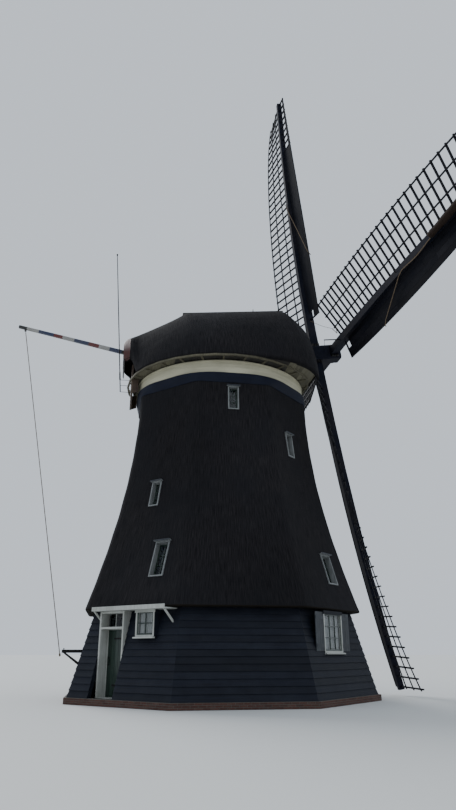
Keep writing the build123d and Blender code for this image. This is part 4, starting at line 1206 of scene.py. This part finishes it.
heights, radii = np.array(rodProfile).T
shank = addTube("rodShank", [rodPlace(z) for z in heights], radii, "blackIron", "cap", 16)
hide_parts("lightning_rod")
for number, z in enumerate(rodValues["stays"]):
    start = rodPlace(z)
    path = [start, (start + [start[0], boardFar, z]) / 2, (start[0], boardFar - 0.004, z)]
    addTube(f"rodStay{number + 1}", path, rodValues["stay"], "blackIron", "cap", 10)
y = rodValues["spikePlace"]
ridge = float(capTop(np.array(y))) + rodValues["spikeFoot"]
rises, radii = np.array(spikeProfile).T
spike = [(0, y, ridge + rise * rodValues["spikeRise"]) for rise in rises]
addTube("ridgeSpike", spike, radii, "blackIron", "cap", 12)
print("cap fitted")

# Sails: a point of sail n across its bars, out along the stock and lifted off it
sailValues = {
    "hub": (0.0, -4.376, 13.060), "tilt": 8.6, "turn": 1.3, "spacing": 0.35, "bow": 0.680, "half": 13.060,
    "first": 1.550, "last": 12.950, "bars": 34, "boarded": 26, "root": 27.4, "tip": -1.6, "power": 0.45,
    "ease": 0.05,
}


def sailTurn(distance):
    # the bars' angle falls from root to tip with a power of the share left, eased near the tip
    v = sailValues
    share = np.clip((v["last"] - distance) / (v["last"] - v["first"]), 0, 1)
    least, most = v["ease"] ** v["power"], (1 + v["ease"]) ** v["power"]
    eased = ((share + v["ease"]) ** v["power"] - least) / (most - least)
    return np.radians(v["tip"] + (v["root"] - v["tip"]) * eased)


def sailPoint(n, across, distance, lift, turn=None):
    # the stock bows forward with the square of the distance, and the two stocks lie one behind the other
    v = sailValues
    across, distance, lift = np.broadcast_arrays(*[np.asarray(a, float) for a in (across, distance, lift)])
    turn = sailTurn(distance) if turn is None else turn
    bow = v["bow"] * (distance / v["half"]) ** 2
    lx = across * np.cos(turn) + lift * np.sin(turn)
    lz = bow - across * np.sin(turn) + lift * np.cos(turn) + (-v["spacing"] if n % 2 == 0 else v["spacing"])
    spin = math.radians(v["turn"] + 90 * n)
    tilt = math.radians(v["tilt"])
    z = np.array([0, -math.cos(tilt), math.sin(tilt)])
    x = np.array([1.0, 0, 0])
    y = np.cross(z, x)
    u = lx * math.cos(spin) - distance * math.sin(spin)
    w = lx * math.sin(spin) + distance * math.cos(spin)
    return np.array(v["hub"]) + u[..., None] * x + w[..., None] * y + lz[..., None] * z


def barPlace(number):
    # the bars stand at even distances along the stock
    v = sailValues
    return v["first"] + (v["last"] - v["first"]) * number / (v["bars"] - 1)


# Half width and depth of a stock, even to the start of the taper and smaller at its end
stockValues = {"even": 1.5, "root": (0.150, 0.170), "tip": (0.085, 0.100)}


def stockHalf(distance):
    # root + (tip - root) * share, for the half width and the half depth
    v = stockValues
    share = np.clip((np.abs(distance) - v["even"]) / (sailValues["half"] - v["even"]), 0, 1)
    return [root + (tip - root) * share for root, tip in zip(v["root"], v["tip"])]


# Wind boards: long planks at an angle of their own, the outermost one running on to the tip
boardValues = {
    "planks": 4, "inner": 0.100, "gap": 0.006, "thickness": 0.026, "root": 0.857, "tip": 0.510,
    "belly": 1.000, "turnRoot": 12.4, "turnTip": 7.3, "from": 1.5, "length": 11.5, "barHalf": 0.0225,
    "bar": 0.058, "joints": (6, 12, 18), "edge": 0.94, "edgeThickness": 0.020, "edgeLevel": -0.024,
    "past": 0.052, "step": 0.17,
}


def boardPoint(n, share, distance, lift):
    # share * reach across; the reach is a line plus a parabola from root to tip
    v = boardValues
    t = (distance - v["from"]) / v["length"]
    reach = v["root"] + (v["tip"] - v["root"]) * t + v["belly"] * t * (1 - t)
    turn = np.radians(v["turnRoot"] + (v["turnTip"] - v["turnRoot"]) * t)
    return sailPoint(n, -share * reach, distance, lift, turn)


def plankStrip(n, near, far, start, end, thickness, level=0.0):
    # a twisted plank: rings of four corners at close distances
    count = max(2, int((end - start) / boardValues["step"]))
    d = np.linspace(start, end, count)
    ring = [(near, -thickness / 2), (far, -thickness / 2), (far, thickness / 2), (near, thickness / 2)]
    points = np.stack([boardPoint(n, share, d, level + lift) for share, lift in ring], 1)
    faces = gridFaces(count, 4, closeColumns=True)
    caps = np.array([[3, 2, 1, 0], [0, 1, 2, 3]]) + np.array([[0], [(count - 1) * 4]])
    across, up = np.tile([near, far, far, near], count), np.tile([0, 0, thickness, thickness], count)
    grain = np.stack([np.repeat(d, 4), across, up], -1)
    return points.reshape(-1, 3), np.concatenate([faces, caps]), grain


def joinStrips(name, strips, material, body):
    # each strip has its own place in the grain and its own tone
    points, faces, grains, tones = [], [], [], []
    base = 0
    for stripPoints, stripFaces, grain in strips:
        points.append(stripPoints)
        faces.append(stripFaces + base)
        grains.append(grain + dice.uniform(0, 40, 3))
        tones.append(np.full(len(stripPoints), dice.uniform(0.15, 0.85)))
        base += len(stripPoints)
    points, faces, grains, tones = [np.concatenate(part) for part in (points, faces, grains, tones)]
    return addPiece(name, points, faces, material, body, grains, tones)


def windBoards(n):
    # rows of planks with staggered joints, the bars that carry them and a batten along the outer edge
    v = boardValues
    end = barPlace(sailValues["boarded"] - 1)
    start = sailValues["first"] - v["barHalf"]
    tip = sailValues["last"] + v["past"]
    edges = np.linspace(1, v["inner"], v["planks"] + 1)
    strips = []
    for row, (a, b) in enumerate(zip(edges, edges[1:])):
        joints = [barPlace(k + 2 * (row % 2)) for k in v["joints"]]
        marks = [start, *joints, end, tip] if row == 0 else [start, *joints, end]
        for low, high in zip(marks, marks[1:]):
            if low == start and b < 0.4:
                low = barPlace(1) - v["barHalf"]
            near, far = a - v["gap"] / 2, b + v["gap"] / 2
            strips.append(plankStrip(n, near, far, low + 0.002, high - 0.002, v["thickness"]))
    for number in [0, *range(sailValues["boarded"] - 1, sailValues["bars"])]:
        d = barPlace(number)
        strips.append(plankStrip(n, 1.0, 0.0, d - v["barHalf"], d + v["barHalf"], v["bar"]))
    strips.append(plankStrip(n, 1.0, v["edge"], start, tip, v["edgeThickness"], v["edgeLevel"]))
    return strips


for n in range(4):
    made = joinStrips(f"windPlanks{n + 1}", windBoards(n), "windBoards", "sails")
    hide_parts(f"wind_boards_{n + 1}")

# Thin wedges beside the bars where these pass the stocks
wedgeValues = {"sunk": 0.004, "proud": 0.050, "half": 0.020, "lift": 0.036, "thickness": 0.008}


def barWedges(n):
    # four to a bar: on both sides of the stock, above and below the bar
    v = wedgeValues
    wedges = []
    for number in range(sailValues["bars"]):
        d = barPlace(number)
        halfWidth = float(stockHalf(d)[0])
        for sign in (-1, 1):
            a, b = sorted((sign * (halfWidth - v["sunk"]), sign * (halfWidth + v["proud"])))
            for lift in (-v["lift"], v["lift"]):
                low = (a, d - v["half"], lift - v["thickness"] / 2)
                high = (b, d + v["half"], lift + v["thickness"] / 2)
                wedges.append(sailPoint(n, *boxCorners(low, high).T))
    return np.array(wedges)


for n in range(4):
    addBoxes(f"barWedges{n + 1}", barWedges(n), "latticeTimber", "sails")

# Rope lashings and hooks on the stocks, and a stay, a rod and a knotted rope at the root of the second sail
lashingValues = {"rope": 0.016, "thin": 0.007, "hook": 0.014, "stay": 0.022, "sag": 0.05}
rope, thin = lashingValues["rope"], lashingValues["thin"]
path = [sailPoint(0, 0.10, 7.42, -0.16), sailPoint(0, 0.06, 7.20, -0.17), boardPoint(0, 0.55, 5.60, -0.10)]
path += [boardPoint(0, 0.97, 4.40, -0.05), boardPoint(0, 1.02, 4.28, -0.01), boardPoint(0, 1.02, 4.20, 0.05)]
addTube("sailRope1", path, rope, "hempRope", "sails", 8)
path = [boardPoint(1, 1.02, 4.52, 0.05), boardPoint(1, 1.02, 4.60, -0.02), boardPoint(1, 0.9, 4.85, -0.07)]
path += [sailPoint(1, -0.17, 6.45, -0.15), sailPoint(1, -0.13, 6.60, -0.18)]
path += [sailPoint(1, -0.09 + 0.03 * math.sin(3 * d), d, -0.18) for d in np.linspace(6.9, 8.90, 7)]
addTube("sailRope2", path, rope, "hempRope", "sails", 8)
hookShape = ((0.04, 0.0, -0.10), (0.14, 0.02, -0.17), (0.20, 0.10, -0.19))
for n, d in ((0, 7.42), (1, 6.52)):
    path = [sailPoint(n, across, d + up, lift) for across, up, lift in hookShape]
    addTube(f"ropeHook{n + 1}", path, lashingValues["hook"], "blackIron", "sails", 8)
path = [sailPoint(1, 0, d, lift, 0.0) for d, lift in ((1.45, -0.155), (1.48, -0.50), (1.50, -0.82))]
addTube("rootStay", path, lashingValues["stay"], "blackIron", "sails", 10)
path = [sailPoint(1, 0, d, lift, 0.0) for d, lift in ((1.49, -0.80), (0.90, -0.60), (0.33, -0.42))]
addTube("rootRod", path, thin, "blackIron", "sails", 8)
start, end = sailPoint(0, -0.17, 1.48, -0.10), sailPoint(1, 0.60, 1.34, 0.0)
sag = np.array([0, 0, lashingValues["sag"]])
path = [start + (end - start) * s - sag * math.sin(math.pi * s) for s in np.linspace(0, 1, 9)]
addTube("rootRope", path, thin, "hempRope", "sails", 8)
path = [sailPoint(1, a, d, -0.03) for a, d in ((0.60, 1.34), (0.34, 1.42), (0.50, 1.60), (0.42, 1.50))]
addTube("rootKnot", path, lashingValues["hook"], "hempRope", "sails", 8)

# Sail cloth rolled up behind the second sail's stock
clothValues = {
    "start": 8.86, "end": 12.86, "outer": 0.125, "inner": 0.030, "turns": 3.0, "side": -0.02, "gap": 0.004,
    "around": 150, "along": 90, "swell": 0.10, "bend": 0.02, "thickness": 0.003,
}


def clothRoll():
    # a spiral across the roll, carried along the stock and swelling and bending a little on its way
    v = clothValues
    angle = np.linspace(0, 2 * np.pi * v["turns"], v["around"])
    roll = v["outer"] + (v["inner"] - v["outer"]) * angle / angle[-1]
    d = np.linspace(v["start"], v["end"], v["along"])[:, None]
    size = roll * (1 + v["swell"] * np.sin(5.3 * d) * np.sin(2.1 * d + 1.0))
    depth = stockHalf(d)[1] + v["outer"] * 1.10 + v["gap"]
    across = v["side"] + v["bend"] * np.sin(1.9 * d) + size * np.cos(angle)
    cloth = sailPoint(1, across, d, size * np.sin(angle) - depth)
    return cloth, stacked(across.shape, d, np.cumsum(roll) * 0.13, 0.0)


cloth, grain = clothRoll()
width = float(np.linalg.norm(np.diff(cloth, axis=1), axis=2).sum(1).mean())
faces = gridFaces(*cloth.shape[:2])
rolled = addPiece("rolledCloth", cloth, faces, "brownCanvas", "sails", grain, smooth=True)
thick = rolled.modifiers.new("cloth", "SOLIDIFY")
thick.thickness = clothValues["thickness"]
thick.offset = 0

# Wedges packed round the stocks where they pass the poll end, every second one shorter
packValues = {
    "size": 0.085, "flat": 0.8, "proud": 0.120, "short": 0.75, "poll": 0.310, "sunk": 0.01, "side": 0.175,
    "step": 0.004, "pitch": 0.11,
}


def packWedges():
    # three in a row on both sides of each stock, lying just outside the poll end
    v = packValues
    wedges = []
    for n in range(4):
        for side in (-1, 1):
            for k in range(3):
                start = side * (v["side"] + v["step"] * k)
                low, high = sorted((start, start + side * v["size"] * v["flat"]))
                far = v["poll"] + v["proud"] * (v["short"] if k % 2 else 1)
                lift, half = (k - 1) * v["pitch"], v["size"] / 2
                box = boxCorners((low, v["poll"] - v["sunk"], lift - half), (high, far, lift + half))
                wedges.append(sailPoint(n, *box.T, 0.0))
    return np.array(wedges)


addBoxes("packWedges", packWedges(), "blackIron", "sails", bevel=0.006)
print("sails fitted")

# Brake lever: bands of paint measured along it from the pivot
bandBlack, bandBlue = (0.012, 0.012, 0.013), (0.018, 0.030, 0.085)
bandWhite, bandRed = (0.36, 0.35, 0.33), (0.13, 0.014, 0.012)
leverValues = {
    "slope": 11.0,
    "pivot": (3.300, 12.390),
    "length": 5.2,
    "bands": (
        (0.62, bandBlack), (1.10, bandBlue), (1.54, bandWhite), (1.94, bandRed), (2.50, bandBlue),
        (2.97, bandWhite), (3.33, bandRed), (3.92, bandBlue), (4.37, bandWhite), (5.20, bandBlack),
    ),
    "end": (0.02, 0.02, 0.022),
}


def leverMaterial():
    # the distance along the lever, as a share of its length, picks the band of paint
    v = leverValues
    made, tree = newTree("bandedLever")
    place = addNode(tree, "ShaderNodeTexCoord").outputs["Object"]
    slope = math.radians(v["slope"])
    inputs = [(0, place), (1, (0, *v["pivot"]))]
    away = addNode(tree, "ShaderNodeVectorMath", inputs, operation="SUBTRACT").outputs[0]
    inputs = [(0, away), (1, (0, math.cos(slope), math.sin(slope)))]
    along = addNode(tree, "ShaderNodeVectorMath", inputs, operation="DOT_PRODUCT").outputs["Value"]
    share = addNode(tree, "ShaderNodeMath", [(0, along), (1, v["length"])], operation="DIVIDE")
    ramp = addNode(tree, "ShaderNodeValToRGB", [(0, share.outputs[0])])
    ramp.color_ramp.interpolation = "CONSTANT"
    stops = ramp.color_ramp.elements
    start = 0.0
    for number, (end, color) in enumerate(v["bands"]):
        stop = stops[0] if number == 0 else stops.new(start / v["length"])
        stop.color = (*color, 1)
        start = end
    stops[len(stops) - 1].color = (*v["end"], 1)
    inputs = [("Value", 0.72), ("Color", ramp.outputs[0])]
    shade = addNode(tree, "ShaderNodeHueSaturation", inputs)
    turned = grainAlong(tree, place, "y")
    inputs = [("Vector", turned), ("Light", ramp.outputs[0]), ("Dark", shade.outputs[0])]
    inputs += [("Weather", (0.10, 0.09, 0.08, 1)), ("Weathering", 0.3), ("Patch", 3.0)]
    inputs += [("Smooth", 0.35), ("Rough", 0.65)]
    group = addNode(tree, "ShaderNodeGroup", inputs, node_tree=grainGroup)
    linkSurface(tree, group, 0.001, 0.9)
    return made


materials["bandedLever"] = leverMaterial()
dressNode("brake_lever", "bandedLever")

# Brake rope: three laid strands from the eye to the knot, taut along its CAD line
ropeValues = {
    "top": (0.0, 7.65842, 13.14216), "foot": 1.350, "slope": 0.2, "radius": 0.014, "lay": 0.11,
    "places": 900, "clear": 6, "eye": 0.024, "eyeRadius": 0.0105, "knot": 0.018, "knotTurns": 3,
    "knotFrom": -0.035, "knotTo": 0.05,
}
topPoint = np.array(ropeValues["top"])
drop = topPoint[2] - ropeValues["foot"]
footPoint = topPoint - np.array([0, ropeValues["slope"] * drop, drop])


def laidRope(turn, length):
    # three strands: the radius swells three times round, turning with the lay
    return 0.16 * np.abs(np.cos(1.5 * (turn - 2 * np.pi * length / ropeValues["lay"]))) - 0.10


line = footPoint + (topPoint - footPoint) * np.linspace(0, 1, ropeValues["places"])[:, None]
strands = line[: -ropeValues["clear"]]
rope = addTube(
    "brakeRopeStrands", strands, ropeValues["radius"], "hempRope", "brake_pull_rope", 18, laidRope
)
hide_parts("brake_rope")
turn = np.linspace(0, 2 * np.pi, 40)
eye = topPoint + ropeValues["eye"] * stacked(turn.shape, 0.0, np.cos(turn), np.sin(turn))
eyeRadius = ropeValues["eyeRadius"]
addTube("brakeRopeEye", eye, eyeRadius, "hempRope", "brake_pull_rope", 12, laidRope)
spiral = np.linspace(0, 2 * np.pi * ropeValues["knotTurns"], 70)
direction = (topPoint - footPoint) / np.linalg.norm(topPoint - footPoint)
knot = footPoint + np.outer(np.linspace(ropeValues["knotFrom"], ropeValues["knotTo"], 70), direction)
knot += ropeValues["knot"] * stacked(spiral.shape, np.cos(spiral), np.sin(spiral), 0.0)
addTube("brakeRopeKnot", knot, ropeValues["radius"], "hempRope", "brake_pull_rope", 12, laidRope)
print("brake fitted")
